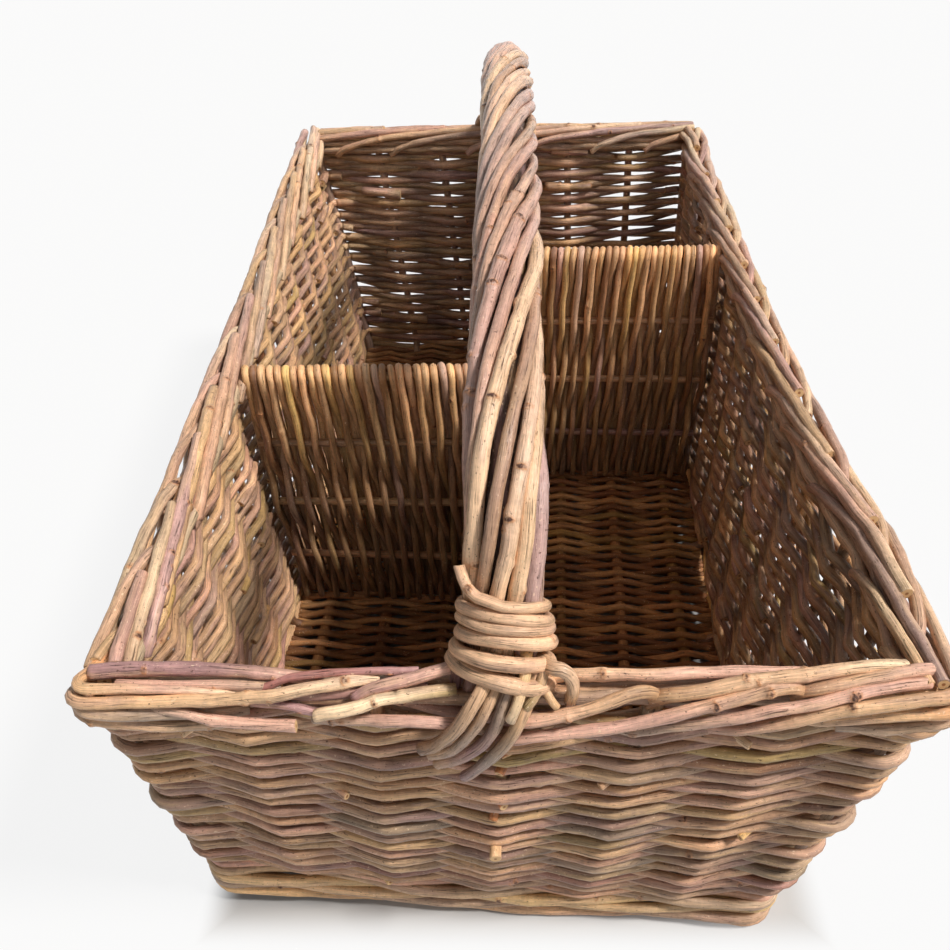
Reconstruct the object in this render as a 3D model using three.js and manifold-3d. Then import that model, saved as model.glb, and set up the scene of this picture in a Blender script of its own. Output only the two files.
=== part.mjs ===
// Divided willow basket: a rectangular basket woven round upright stakes, with a bow handle
// that runs along its length and three woven dividers that make four compartments.
// Millimetres, +Z up. X runs across the basket and Y along it, from its front short side to
// its back short side. The basket stands on z = 0, with its middle over the origin.

import * as THREE from 'three';
import { mergeVertices } from 'three/addons/utils/BufferGeometryUtils.js';
import Module from 'manifold-3d';

const wasm = await Module();
wasm.setup();

// Body of the basket, over the outside. Each wall leans out by the flare from foot to rim.
const RIM_WIDTH = 300;
const RIM_LENGTH = 506;
const RIM_HEIGHT = 200;
const WALL_FLARE_WIDTH = 16;
const CORNER_RADIUS = 14;
const LEAST_CORNER_RADIUS = 1;
const WALL_THICKNESS = 12;

// Gap between pieces that touch
const CLEARANCE = 0.3;

// Weave of the walls in coarse rows, each of several real ones. A row stands proud of a face
// where it is over a stake and sinks into it where it is behind one, but covers the stake.
const WEAVE_ROWS = 11;
const WEAVE_DEPTH = 2;
const WEAVE_PROUD_THICKNESS = 1;
const LEAST_COVER_THICKNESS = 1;

// Rows at the foot that hold the base in, and the base with its lengthwise sticks
const FOOT_WALE_HEIGHT = 22;
const BASE_BOTTOM_HEIGHT = 9;
const BASE_THICKNESS = 12;
const BASE_STICK_COUNT = 7;
const BASE_STICK_DIAMETER = 7;
const BASE_STICK_INSET = 14;

// Border along each side of the rim: four thick rods, two on two, with valleys between them
const BORDER_HEIGHT = 13;
const BORDER_WIDTH = 15;
const BORDER_ROD_DIAMETER = 7;
const BORDER_VALLEY_DEPTH = 1.8;
const BORDER_ROD_STEPS = 3;

// Stakes: each has its tail in the base, bends up in the foot wale and ends in the border.
// The middle place of a short side is taken by the end of the handle bow.
const STAKE_DIAMETER = 5.2;
const STAKE_TAIL_LENGTH = 7;
const STAKE_TOP_DEPTH = 5;
const STAKE_BEND_STEPS = 2;
const SHORT_SIDE_PLACES = 5;
const LONG_SIDE_PLACES = 11;
const CORNER_POST_DIAMETER = 7;
const CORNER_POST_BOTTOM_HEIGHT = 3;

// Dividers with upright ribs on both faces, and the stick in the top of each
const DIVIDER_THICKNESS = 9;
const DIVIDER_TOP_DEPTH = 4;
const DIVIDER_RIB_PITCH = 12;
const DIVIDER_RIB_DEPTH = 1.1;
const DIVIDER_STICK_DIAMETER = 4.6;
const DIVIDER_STICK_DEPTH = 5;
const LEFT_DIVIDER_OFFSET = -56;
const RIGHT_DIVIDER_OFFSET = 65;

// Handle: a bow with thin ends in the walls, wrapped with rods that wind round it
const HANDLE_HEIGHT = 86;
const HANDLE_FOOT_INSET = 14;
const HANDLE_LEAN = THREE.MathUtils.degToRad(26);
const HANDLE_STRAIGHT_LENGTH = 46;
const HANDLE_SHOULDER_LENGTH = 38;
const HANDLE_FLAT_LENGTH = 75;
const BOW_DIAMETER = 18;
const BOW_END_COVER_THICKNESS = 2;
const BOW_TAPER_LENGTH = 30;
const WRAP_ROD_COUNT = 11;
const WRAP_ROD_DIAMETER = 6;
const WRAP_VALLEY_DEPTH = 2.2;
const WRAP_TURN_LENGTH = 300;

// Bindings round the two feet of the handle, and the pegs that hold the ends of the bow
const BINDING_ROD_DIAMETER = 4.2;
const BINDING_PITCH = 4.8;
const BINDING_TURNS = 6;
const PEG_DIAMETER = 4.8;
const PEG_HEIGHT = 90;
const PEG_PROUD_LENGTH = 6;

// Facets
const ROD_SIDES = 6;
const BOW_SIDES = 8;
const CORNER_STEPS = 4;
const BINDING_STEPS = 16;
const HANDLE_FOOT_STEPS = 5;
const HANDLE_CURVE_STEPS = 15;

const FLOOR = BASE_BOTTOM_HEIGHT + BASE_THICKNESS;
const BORDER_BOTTOM = RIM_HEIGHT - BORDER_HEIGHT;
const WRAP_RADIUS = BOW_DIAMETER / 2 + WRAP_ROD_DIAMETER;

const UP = new THREE.Vector3(0, 0, 1);
const ACROSS = new THREE.Vector3(1, 0, 0);

const point = (x, y, z) => new THREE.Vector3(x, y, z);

// Outer half sizes of the flared wall at a height
const flareBelowRim = (z) => WALL_FLARE_WIDTH * (1 - z / RIM_HEIGHT);
const halfWidth = (z) => RIM_WIDTH / 2 - flareBelowRim(z);
const halfLength = (z) => RIM_LENGTH / 2 - flareBelowRim(z);

// A closed skin over rings of equal point counts. Its two ends are capped, or joined to each
// other when the rings themselves make a loop.
function skin(rings, looped = false) {
  const count = rings[0].length;
  const positions = rings.flat().flatMap((p) => [p.x, p.y, p.z]);
  const index = [];
  const spans = looped ? rings.length : rings.length - 1;
  for (let r = 0; r < spans; r += 1) {
    const here = r * count;
    const next = ((r + 1) % rings.length) * count;
    for (let k = 0; k < count; k += 1) {
      const l = (k + 1) % count;
      index.push(here + k, next + k, next + l, here + k, next + l, here + l);
    }
  }
  if (!looped) {
    const last = (rings.length - 1) * count;
    for (let k = 1; k < count - 1; k += 1) {
      index.push(0, k, k + 1, last, last + k + 1, last + k);
    }
  }
  const geometry = new THREE.BufferGeometry();
  geometry.setAttribute('position', new THREE.Float32BufferAttribute(positions, 3));
  geometry.setIndex(index);
  return facingOut(geometry);
}

// The same skin with its faces turned to point out of the solid
function facingOut(geometry) {
  const p = geometry.getAttribute('position');
  const index = geometry.getIndex().array;
  const corner = (k) => new THREE.Vector3().fromBufferAttribute(p, index[k]);
  let volume = 0;
  for (let k = 0; k < index.length; k += 3) {
    volume += corner(k).dot(corner(k + 1).cross(corner(k + 2)));
  }
  if (volume < 0) {
    for (let k = 0; k < index.length; k += 3) {
      [index[k + 1], index[k + 2]] = [index[k + 2], index[k + 1]];
    }
  }
  return geometry;
}

function toSolid(geometry) {
  const bare = geometry.clone();
  bare.deleteAttribute('normal');
  bare.deleteAttribute('uv');
  const merged = mergeVertices(bare);
  return new wasm.Manifold(new wasm.Mesh({
    numProp: 3,
    vertProperties: new Float32Array(merged.getAttribute('position').array),
    triVerts: new Uint32Array(merged.getIndex().array),
  }));
}

function toGeometry(solid) {
  const mesh = solid.getMesh();
  const geometry = new THREE.BufferGeometry();
  geometry.setAttribute('position', new THREE.BufferAttribute(mesh.vertProperties, 3));
  geometry.setIndex(new THREE.BufferAttribute(mesh.triVerts, 1));
  return geometry;
}

// The geometry with every tool taken out of it
function cut(geometry, tools) {
  return toGeometry(tools.reduce((solid, tool) => solid.subtract(toSolid(tool)), toSolid(geometry)));
}

// Direction of a route at each of its points, and there the two sides of its section. The
// first side starts near the given one and is carried along without turning.
function framesAlong(route, firstSide) {
  let side = firstSide.clone();
  return route.map((here, k) => {
    const before = route[Math.max(k - 1, 0)];
    const after = route[Math.min(k + 1, route.length - 1)];
    const ahead = after.clone().sub(before).normalize();
    side = side.addScaledVector(ahead, -side.dot(ahead)).normalize();
    return { here, ahead, side: side.clone(), other: ahead.clone().cross(side) };
  });
}

const onFrame = (frame, radius, angle) => frame.here.clone()
  .addScaledVector(frame.side, radius * Math.cos(angle))
  .addScaledVector(frame.other, radius * Math.sin(angle));

// A rod along a route. Its radius is one number, or one for each point of the route.
function rod(route, radius, sides, firstSide) {
  return skin(framesAlong(route, firstSide).map((frame, k) => {
    const here = Array.isArray(radius) ? radius[k] : radius;
    return Array.from({ length: sides }, (_, s) => onFrame(frame, here, (2 * Math.PI * s) / sides));
  }));
}

// The room that a rod needs: wider and longer than the rod by the clearance
function rodRoom(route, radius, sides, firstSide) {
  const longer = route.map((p) => p.clone());
  const [first, second] = route;
  const [lastButOne, last] = route.slice(-2);
  longer[0].addScaledVector(first.clone().sub(second).normalize(), CLEARANCE);
  longer[longer.length - 1].addScaledVector(last.clone().sub(lastButOne).normalize(), CLEARANCE);
  const wider = Array.isArray(radius) ? radius.map((r) => r + CLEARANCE) : radius + CLEARANCE;
  return rod(longer, wider, sides, firstSide);
}

// Outline of the basket at a height, set in from its outer face, with round corners
function outline(z, inset) {
  const radius = Math.max(CORNER_RADIUS - inset, LEAST_CORNER_RADIUS);
  const middleX = halfWidth(z) - inset - radius;
  const middleY = halfLength(z) - inset - radius;
  const points = [];
  [[1, 1], [-1, 1], [-1, -1], [1, -1]].forEach(([sx, sy], quarter) => {
    for (let k = 0; k <= CORNER_STEPS; k += 1) {
      const angle = (Math.PI / 2) * (quarter + k / CORNER_STEPS);
      points.push(point(
        sx * middleX + radius * Math.cos(angle),
        sy * middleY + radius * Math.sin(angle),
        z,
      ));
    }
  });
  return points;
}

// Part of the wall between two heights, as a ring with an open middle
const wallRing = (low, high) => skin([
  outline(low, 0),
  outline(high, 0),
  outline(high, WALL_THICKNESS),
  outline(low, WALL_THICKNESS),
], true);

// Route of a stake. The place is a height's point in the middle of the wall, and inward
// points from there to the middle of the basket.
function stakeRoute(place, inward) {
  const bend = WALL_THICKNESS / 2;
  const tail = BASE_BOTTOM_HEIGHT + BASE_THICKNESS / 2;
  const foot = place(tail + bend);
  const at = (inset, height) => point(foot.x, foot.y, height).addScaledVector(inward, inset);
  const route = [at(bend + CLEARANCE + STAKE_TAIL_LENGTH, tail)];
  for (let k = 0; k <= STAKE_BEND_STEPS; k += 1) {
    const angle = ((Math.PI / 2) * k) / STAKE_BEND_STEPS;
    route.push(at(bend * (1 - Math.sin(angle)), tail + bend * (1 - Math.cos(angle))));
  }
  route.push(place(BORDER_BOTTOM + STAKE_TOP_DEPTH));
  return route;
}

const middleOfWall = WALL_THICKNESS / 2;
const shortSidePlace = (share, end) => (z) => point(
  share * (halfWidth(z) - middleOfWall),
  end * (halfLength(z) - middleOfWall),
  z,
);
const longSidePlace = (share, side) => (z) => point(
  side * (halfWidth(z) - middleOfWall),
  share * (halfLength(z) - middleOfWall),
  z,
);

// Shares of a side, from -1 to 1, at which its stakes stand
const sharesOf = (places) => Array.from({ length: places }, (_, k) => (2 * (k + 1)) / (places + 1) - 1);

const stakes = [];
for (const [name, end] of [['front', -1], ['back', 1]]) {
  const shares = sharesOf(SHORT_SIDE_PLACES).filter((share) => share !== 0);
  shares.forEach((share, k) => {
    const route = stakeRoute(shortSidePlace(share, end), point(0, -end, 0));
    stakes.push({ name: `${name}_stake_${k + 1}`, route });
  });
}
for (const [name, side] of [['left', -1], ['right', 1]]) {
  sharesOf(LONG_SIDE_PLACES).forEach((share, k) => {
    const route = stakeRoute(longSidePlace(share, side), point(-side, 0, 0));
    stakes.push({ name: `${name}_stake_${k + 1}`, route });
  });
}
const stakeRooms = stakes.map(({ route }) => rodRoom(route, STAKE_DIAMETER / 2, ROD_SIDES, UP));

// Corner posts stand in the middle of the wall's round corner, straight up under the border
const cornerPosts = [];
for (const [name, sx, sy] of [
  ['front_left', -1, -1], ['front_right', 1, -1], ['back_left', -1, 1], ['back_right', 1, 1],
]) {
  const inset = CORNER_RADIUS - (CORNER_RADIUS - middleOfWall) * Math.SQRT1_2;
  const at = (z) => point(sx * (halfWidth(z) - inset), sy * (halfLength(z) - inset), z);
  cornerPosts.push({
    name: `${name}_corner_post`,
    route: [at(CORNER_POST_BOTTOM_HEIGHT), at(BORDER_BOTTOM - CLEARANCE)],
  });
}
const postRadius = CORNER_POST_DIAMETER / 2;
const postRooms = cornerPosts.map(({ route }) => rodRoom(route, postRadius, ROD_SIDES, ACROSS));

// Middle line of the handle above the rim: a straight leaning foot, then one smooth curve to
// the top, and the same again mirrored to the other foot
const handleFoot = point(0, -(RIM_LENGTH / 2 - HANDLE_FOOT_INSET), RIM_HEIGHT);
const lean = point(0, Math.sin(HANDLE_LEAN), Math.cos(HANDLE_LEAN));
const shoulder = handleFoot.clone().addScaledVector(lean, HANDLE_STRAIGHT_LENGTH);
const handleTop = point(0, 0, RIM_HEIGHT + HANDLE_HEIGHT);
const shoulderCurve = new THREE.CubicBezierCurve3(
  shoulder,
  shoulder.clone().addScaledVector(lean, HANDLE_SHOULDER_LENGTH),
  handleTop.clone().setY(-HANDLE_FLAT_LENGTH),
  handleTop,
);
const risingHalf = [
  ...Array.from(
    { length: HANDLE_FOOT_STEPS },
    (_, k) => handleFoot.clone().lerp(shoulder, k / HANDLE_FOOT_STEPS),
  ),
  ...shoulderCurve.getSpacedPoints(HANDLE_CURVE_STEPS),
];
const mirrored = (route) => route.map((p) => point(p.x, -p.y, p.z)).reverse();
const arch = [...risingHalf, ...mirrored(risingHalf).slice(1)];

// Length along a route up to each of its points
function lengthsAlong(route) {
  const lengths = [0];
  for (let k = 1; k < route.length; k += 1) {
    lengths.push(lengths[k - 1] + route[k].distanceTo(route[k - 1]));
  }
  return lengths;
}

// The bow has thin ends in the walls and swells to its full size above the border
const bowEndRadius = WALL_THICKNESS / 2 - BOW_END_COVER_THICKNESS;
const bowEnd = shortSidePlace(0, -1);
const buriedEnd = [bowEnd(FOOT_WALE_HEIGHT + CLEARANCE), bowEnd(PEG_HEIGHT), bowEnd(BORDER_BOTTOM)];
const bowRoute = [...buriedEnd, ...arch, ...mirrored(buriedEnd)];
const archLengths = lengthsAlong(arch);
const archLength = archLengths[archLengths.length - 1];
const swelling = archLengths.map((s) => {
  const share = Math.min(1, Math.min(s, archLength - s) / BOW_TAPER_LENGTH);
  return THREE.MathUtils.lerp(bowEndRadius, BOW_DIAMETER / 2, share);
});
const buriedRadii = buriedEnd.map(() => bowEndRadius);
const bowRadii = [...buriedRadii, ...swelling, ...buriedRadii];
const bowRoom = rodRoom(bowRoute, bowRadii, BOW_SIDES, ACROSS);

// Pegs driven through the wall and the end of the bow
const pegs = [['front', -1], ['back', 1]].map(([name, end]) => {
  const face = halfLength(PEG_HEIGHT);
  const at = (distance) => point(0, end * distance, PEG_HEIGHT);
  return {
    name: `${name}_peg`,
    route: [at(face + PEG_PROUD_LENGTH), at(face - WALL_THICKNESS + CLEARANCE)],
    room: [at(face + WALL_THICKNESS), at(face - 2 * WALL_THICKNESS)],
  };
});
const pegRooms = pegs.map(({ room }) => rod(room, PEG_DIAMETER / 2 + CLEARANCE, ROD_SIDES, UP));

// The sides of the wall in the order in which an outline goes round it: which end or side of
// the basket each is, which way the outline goes along it, and where a divider ends on it
const weaveSides = [
  { isShort: true, end: 1, way: -1, divider: 0 },
  { isShort: false, end: -1, way: -1, divider: LEFT_DIVIDER_OFFSET },
  { isShort: true, end: -1, way: 1, divider: 0 },
  { isShort: false, end: 1, way: 1, divider: RIGHT_DIVIDER_OFFSET },
];

// One face of the woven wall at the top or bottom of a row. Over and behind change places at
// the next stake, and the face is flat where a divider ends on it.
function weaveOutline(z, row, isOuter) {
  let place = 0;
  const insetOver = (radius) => {
    const room = middleOfWall - radius - CLEARANCE - LEAST_COVER_THICKNESS;
    const isBehind = (place + row + (isOuter ? 0 : 1)) % 2 === 1;
    const sunk = isBehind ? Math.min(WEAVE_DEPTH, room) : 0;
    place += 1;
    return isOuter ? sunk - WEAVE_PROUD_THICKNESS : WALL_THICKNESS - sunk;
  };
  return weaveSides.flatMap(({ isShort, end, way, divider }, quarter) => {
    const [halfAlong, halfAcross] = isShort ? [halfWidth(z), halfLength(z)] : [halfLength(z), halfWidth(z)];
    const firstOfCorner = quarter * (CORNER_STEPS + 1);
    const corner = outline(z, insetOver(postRadius)).slice(firstOfCorner, firstOfCorner + CORNER_STEPS + 1);
    const columns = sharesOf(isShort ? SHORT_SIDE_PLACES : LONG_SIDE_PLACES).map((share) => ({
      along: way * share * (halfAlong - middleOfWall),
      inset: insetOver(isShort && share === 0 ? bowEndRadius : STAKE_DIAMETER / 2),
    }));
    for (const edge of [-1, 1]) {
      columns.push({ along: divider + (edge * DIVIDER_THICKNESS) / 2, inset: isOuter ? 0 : WALL_THICKNESS });
    }
    columns.sort((a, b) => way * (a.along - b.along));
    const onSide = columns.map(({ along, inset }) => {
      const across = end * (halfAcross - inset);
      return isShort ? point(along, across, z) : point(across, along, z);
    });
    return [...corner, ...onSide];
  });
}

function wovenWall(low, high) {
  const rows = Array.from({ length: WEAVE_ROWS + 1 }, (_, row) => row);
  const face = (isOuter) => rows.map((row) => (
    weaveOutline(THREE.MathUtils.lerp(low, high, row / WEAVE_ROWS), row, isOuter)
  ));
  return skin([...face(true), ...face(false).reverse()], true);
}

// The rods wound round the bow, as one lobed tube that turns as it goes. It stands on the
// border, so its two feet are cut level.
function handleWrap() {
  const below = handleFoot.clone().addScaledVector(lean, -WRAP_RADIUS);
  const route = [below, ...arch, point(0, -below.y, below.z)];
  const lengths = lengthsAlong(route);
  const radii = [bowEndRadius, ...swelling, bowEndRadius];
  const frames = framesAlong(route, ACROSS);
  const lobe = [0, 0.3, 0.7];
  const depth = [WRAP_VALLEY_DEPTH, 0, 0];
  const outside = frames.map((frame, k) => {
    const turn = (2 * Math.PI * lengths[k]) / WRAP_TURN_LENGTH;
    return Array.from({ length: WRAP_ROD_COUNT * lobe.length }, (_, s) => {
      const share = (Math.floor(s / lobe.length) + lobe[s % lobe.length]) / WRAP_ROD_COUNT;
      return onFrame(frame, WRAP_RADIUS - depth[s % lobe.length], turn + 2 * Math.PI * share);
    });
  });
  const bore = rodRoom(route, radii, BOW_SIDES, ACROSS);
  const level = RIM_HEIGHT + CLEARANCE;
  const span = RIM_LENGTH;
  const underside = new THREE.BoxGeometry(span, 2 * span, span).translate(0, 0, level - span / 2);
  return cut(skin(outside), [bore, underside]);
}

// A binding: one rod wound level round the leaning foot of the handle. The middles of its
// straight steps keep the clearance.
const bindingRadius = BINDING_ROD_DIAMETER / 2;
const bindingRoute = (() => {
  const steps = Math.round(BINDING_TURNS * BINDING_STEPS);
  const across = (WRAP_RADIUS + CLEARANCE + bindingRadius) / Math.cos(Math.PI / BINDING_STEPS);
  const along = across / Math.cos(HANDLE_LEAN);
  return Array.from({ length: steps + 1 }, (_, k) => {
    const turns = k / BINDING_STEPS;
    const height = CLEARANCE + bindingRadius + turns * BINDING_PITCH;
    const middle = handleFoot.clone().addScaledVector(lean, height / Math.cos(HANDLE_LEAN));
    const angle = 2 * Math.PI * turns - Math.PI / 2;
    return middle.add(point(across * Math.cos(angle), along * Math.sin(angle), 0));
  });
})();
const bindings = [
  { name: 'front_binding', route: bindingRoute },
  { name: 'back_binding', route: bindingRoute.map((p) => point(-p.x, -p.y, p.z)) },
];

function leastSelfGap(route, radius) {
  const apart = Math.round(BINDING_STEPS / 2);
  let least = Infinity;
  for (let a = 0; a < route.length; a += 1) {
    for (let b = a + apart; b < route.length; b += 1) {
      least = Math.min(least, route[a].distanceTo(route[b]));
    }
  }
  return least - 2 * radius;
}
const bindingGap = leastSelfGap(bindingRoute, bindingRadius);
console.log(`least gap between turns of a binding: ${bindingGap.toFixed(2)} mm`);

// A flat plate of a given thickness, drawn as an outline of distance and height
function plate(corners, thickness) {
  const shape = new THREE.Shape(corners.map(([u, v]) => new THREE.Vector2(u, v)));
  const geometry = new THREE.ExtrudeGeometry(shape, { depth: thickness, bevelEnabled: false });
  return geometry.translate(0, 0, -thickness / 2).rotateX(Math.PI / 2);
}

// The same plate with upright ribs on both faces, out to a reach on each side of the middle
function ribbed(panel, reach) {
  const count = Math.ceil((2 * reach) / DIVIDER_RIB_PITCH);
  const face = Array.from({ length: 2 * count + 1 }, (_, k) => [
    ((k - count) * DIVIDER_RIB_PITCH) / 2,
    DIVIDER_THICKNESS / 2 - (k % 2 === 0 ? DIVIDER_RIB_DEPTH : 0),
  ]);
  const section = [...face, ...face.map(([u, v]) => [u, -v]).reverse()];
  const shape = new THREE.Shape(section.map(([u, v]) => new THREE.Vector2(u, v)));
  const ribs = new THREE.ExtrudeGeometry(shape, { depth: RIM_HEIGHT, bevelEnabled: false });
  return toGeometry(toSolid(panel).intersect(toSolid(ribs)));
}

// End of a divider: it follows the wall's inner face and steps in under the border
function dividerEnd(halfSize, halfRim) {
  const bottom = FLOOR + CLEARANCE;
  const step = BORDER_BOTTOM - CLEARANCE;
  const underBorder = halfRim - BORDER_WIDTH - CLEARANCE;
  const wall = (z) => halfSize(z) - WALL_THICKNESS - CLEARANCE;
  return [
    [wall(bottom), bottom],
    [wall(step), step],
    [Math.min(underBorder, wall(step)), step],
    [Math.min(underBorder, wall(step)), RIM_HEIGHT - DIVIDER_TOP_DEPTH],
  ];
}
const dividerStickHeight = RIM_HEIGHT - DIVIDER_TOP_DEPTH - DIVIDER_STICK_DEPTH;

function centerDivider() {
  const end = dividerEnd(halfLength, RIM_LENGTH / 2);
  const otherEnd = end.map(([u, v]) => [-u, v]).reverse();
  const reach = end[2][0];
  const stick = [point(0, -reach, dividerStickHeight), point(0, reach, dividerStickHeight)];
  const panel = ribbed(plate([...end, ...otherEnd], DIVIDER_THICKNESS), reach).rotateZ(Math.PI / 2);
  return { panel, stick };
}

function crossDivider(side, place) {
  const end = dividerEnd(halfWidth, RIM_WIDTH / 2);
  const inner = DIVIDER_THICKNESS / 2 + CLEARANCE;
  const corners = [...end, [inner, RIM_HEIGHT - DIVIDER_TOP_DEPTH], [inner, FLOOR + CLEARANCE]];
  const placed = side > 0 ? corners : corners.map(([u, v]) => [-u, v]).reverse();
  const panel = ribbed(plate(placed, DIVIDER_THICKNESS), end[2][0]).translate(0, place, 0);
  const stick = [end[2][0], inner].map((u) => point(side * u, place, dividerStickHeight));
  return { panel, stick };
}

const dividers = [
  { name: 'center_divider', ...centerDivider() },
  { name: 'left_divider', ...crossDivider(-1, LEFT_DIVIDER_OFFSET) },
  { name: 'right_divider', ...crossDivider(1, RIGHT_DIVIDER_OFFSET) },
];

// Section of the border: distance in from the rim's outer face, and height
function borderSection() {
  const radius = BORDER_ROD_DIAMETER / 2;
  const rodU = BORDER_WIDTH / 2 - radius;
  const rodZ = BORDER_HEIGHT / 2 - radius;
  const points = [];
  const place = (u, z) => points.push([BORDER_WIDTH / 2 + u, RIM_HEIGHT - BORDER_HEIGHT / 2 + z]);
  [[1, 1], [-1, 1], [-1, -1], [1, -1]].forEach(([su, sz], quarter) => {
    for (let k = 0; k <= BORDER_ROD_STEPS; k += 1) {
      const angle = (Math.PI / 2) * (quarter + k / BORDER_ROD_STEPS);
      place(su * rodU + radius * Math.cos(angle), sz * rodZ + radius * Math.sin(angle));
    }
    const across = Math.cos((Math.PI / 2) * (quarter + 1));
    const upward = Math.sin((Math.PI / 2) * (quarter + 1));
    place(
      across * (BORDER_WIDTH / 2 - BORDER_VALLEY_DEPTH),
      upward * (BORDER_HEIGHT / 2 - BORDER_VALLEY_DEPTH),
    );
  });
  return points;
}

// One side of the border, with mitred ends that keep the clearance to the next side
const mitre = CLEARANCE * Math.SQRT1_2;
const shortBorder = (end) => skin([-1, 1].map((side) => borderSection().map(([u, z]) => point(
  side * (RIM_WIDTH / 2 - u - mitre),
  end * (RIM_LENGTH / 2 - u),
  z,
))));
const longBorder = (side) => skin([-1, 1].map((end) => borderSection().map(([u, z]) => point(
  side * (RIM_WIDTH / 2 - u),
  end * (RIM_LENGTH / 2 - u - mitre),
  z,
))));

// Base plate: its edge follows the inner face of the foot wale
const basePlate = skin([BASE_BOTTOM_HEIGHT, FLOOR].map((z) => outline(z, WALL_THICKNESS + CLEARANCE)));
const baseSticks = (() => {
  const height = BASE_BOTTOM_HEIGHT + BASE_THICKNESS / 2;
  const reach = halfLength(height) - WALL_THICKNESS - CLEARANCE;
  const outermost = halfWidth(height) - WALL_THICKNESS - CLEARANCE - BASE_STICK_INSET;
  return Array.from({ length: BASE_STICK_COUNT }, (_, k) => {
    const x = outermost * ((2 * k) / (BASE_STICK_COUNT - 1) - 1);
    return { name: `base_stick_${k + 1}`, route: [point(x, -reach, height), point(x, reach, height)] };
  });
})();
const baseStickRadius = BASE_STICK_DIAMETER / 2;
const baseStickRooms = baseSticks.map(({ route }) => rodRoom(route, baseStickRadius, ROD_SIDES, UP));

// Colours and finish of the peeled and unpeeled willow
const willow = (color, roughness = 0.7) => (
  new THREE.MeshStandardMaterial({ color, roughness, metalness: 0 })
);
const finishes = {
  weave: willow(0x9a7a5c, 0.78),
  footWale: willow(0xb19163),
  base: willow(0x6f5238, 0.85),
  border: willow(0xb08a6c, 0.62),
  stake: willow(0x8d6c50),
  divider: willow(0x8f6c46, 0.75),
  handle: willow(0xc7a283, 0.55),
  bow: willow(0xa47f5f),
  binding: willow(0xc9a377, 0.58),
  peg: willow(0xc98f55),
};

const basket = new THREE.Group();
function add(name, geometry, material) {
  const mesh = new THREE.Mesh(geometry, material);
  mesh.name = name;
  basket.add(mesh);
}

add('foot_wale', cut(wallRing(0, FOOT_WALE_HEIGHT), [...stakeRooms, ...postRooms]), finishes.footWale);
add(
  'side_weave',
  cut(
    wovenWall(FOOT_WALE_HEIGHT + CLEARANCE, BORDER_BOTTOM - CLEARANCE),
    [...stakeRooms, ...postRooms, ...pegRooms, bowRoom],
  ),
  finishes.weave,
);
add('base_weave', cut(basePlate, [...stakeRooms, ...baseStickRooms]), finishes.base);
baseSticks.forEach(({ name, route }) => {
  add(name, rod(route, baseStickRadius, ROD_SIDES, UP), finishes.base);
});
stakes.forEach(({ name, route }) => {
  add(name, rod(route, STAKE_DIAMETER / 2, ROD_SIDES, UP), finishes.stake);
});
cornerPosts.forEach(({ name, route }) => {
  add(name, rod(route, postRadius, ROD_SIDES, ACROSS), finishes.stake);
});
for (const [name, bar] of [
  ['front_border', shortBorder(-1)],
  ['back_border', shortBorder(1)],
  ['left_border', longBorder(-1)],
  ['right_border', longBorder(1)],
]) {
  add(name, cut(bar, [...stakeRooms, bowRoom]), finishes.border);
}
dividers.forEach(({ name, panel, stick }) => {
  const radius = DIVIDER_STICK_DIAMETER / 2;
  add(name, cut(panel, [rodRoom(stick, radius, ROD_SIDES, UP), bowRoom]), finishes.divider);
  add(`${name}_stick`, rod(stick, radius, ROD_SIDES, UP), finishes.divider);
});
add('handle_bow', cut(rod(bowRoute, bowRadii, BOW_SIDES, ACROSS), pegRooms), finishes.bow);
add('handle_wrap', handleWrap(), finishes.handle);
bindings.forEach(({ name, route }) => {
  add(name, rod(route, bindingRadius, ROD_SIDES, UP), finishes.binding);
});
pegs.forEach(({ name, route }) => {
  add(name, rod(route, PEG_DIAMETER / 2, ROD_SIDES, UP), finishes.peg);
});

export default basket;
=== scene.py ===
# Looks of a divided willow basket: every rod of its weave, border, dividers and handle.
# Lengths are in millimetres until a mesh is made. X runs across the basket and Y along it,
# from its front short side to its back one. Z is the height above the floor.
import math

import bpy
import numpy as np
from mathutils import Matrix, Vector


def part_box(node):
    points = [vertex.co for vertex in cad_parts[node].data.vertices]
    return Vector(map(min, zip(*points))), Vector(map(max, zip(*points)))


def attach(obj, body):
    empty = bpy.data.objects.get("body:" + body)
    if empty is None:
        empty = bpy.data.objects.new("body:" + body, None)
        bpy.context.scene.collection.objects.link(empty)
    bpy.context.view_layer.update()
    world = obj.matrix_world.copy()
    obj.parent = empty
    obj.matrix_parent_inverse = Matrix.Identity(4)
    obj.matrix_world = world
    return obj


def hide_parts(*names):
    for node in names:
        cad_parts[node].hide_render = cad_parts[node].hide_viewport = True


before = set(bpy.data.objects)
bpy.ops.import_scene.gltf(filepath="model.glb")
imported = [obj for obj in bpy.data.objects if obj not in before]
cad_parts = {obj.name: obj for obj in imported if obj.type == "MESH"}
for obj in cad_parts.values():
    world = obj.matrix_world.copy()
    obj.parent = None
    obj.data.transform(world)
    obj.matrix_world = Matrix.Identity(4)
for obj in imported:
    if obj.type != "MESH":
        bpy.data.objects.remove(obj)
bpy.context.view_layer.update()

bpy.ops.object.select_all(action="DESELECT")

MM = 0.001
FULL_TURN = 2 * math.pi
UP = np.array([0.0, 0.0, 1.0])
ACROSS = np.array([1.0, 0.0, 0.0])
AHEAD = np.array([0.0, 1.0, 0.0])


def node_box(name):
    """Lowest and highest corner of a node of the frame, in millimetres"""
    return [np.array(corner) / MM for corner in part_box(name)]


def count_of(start):
    """How many nodes of the frame have a name with this start"""
    return sum(name.startswith(start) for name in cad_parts)


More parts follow.
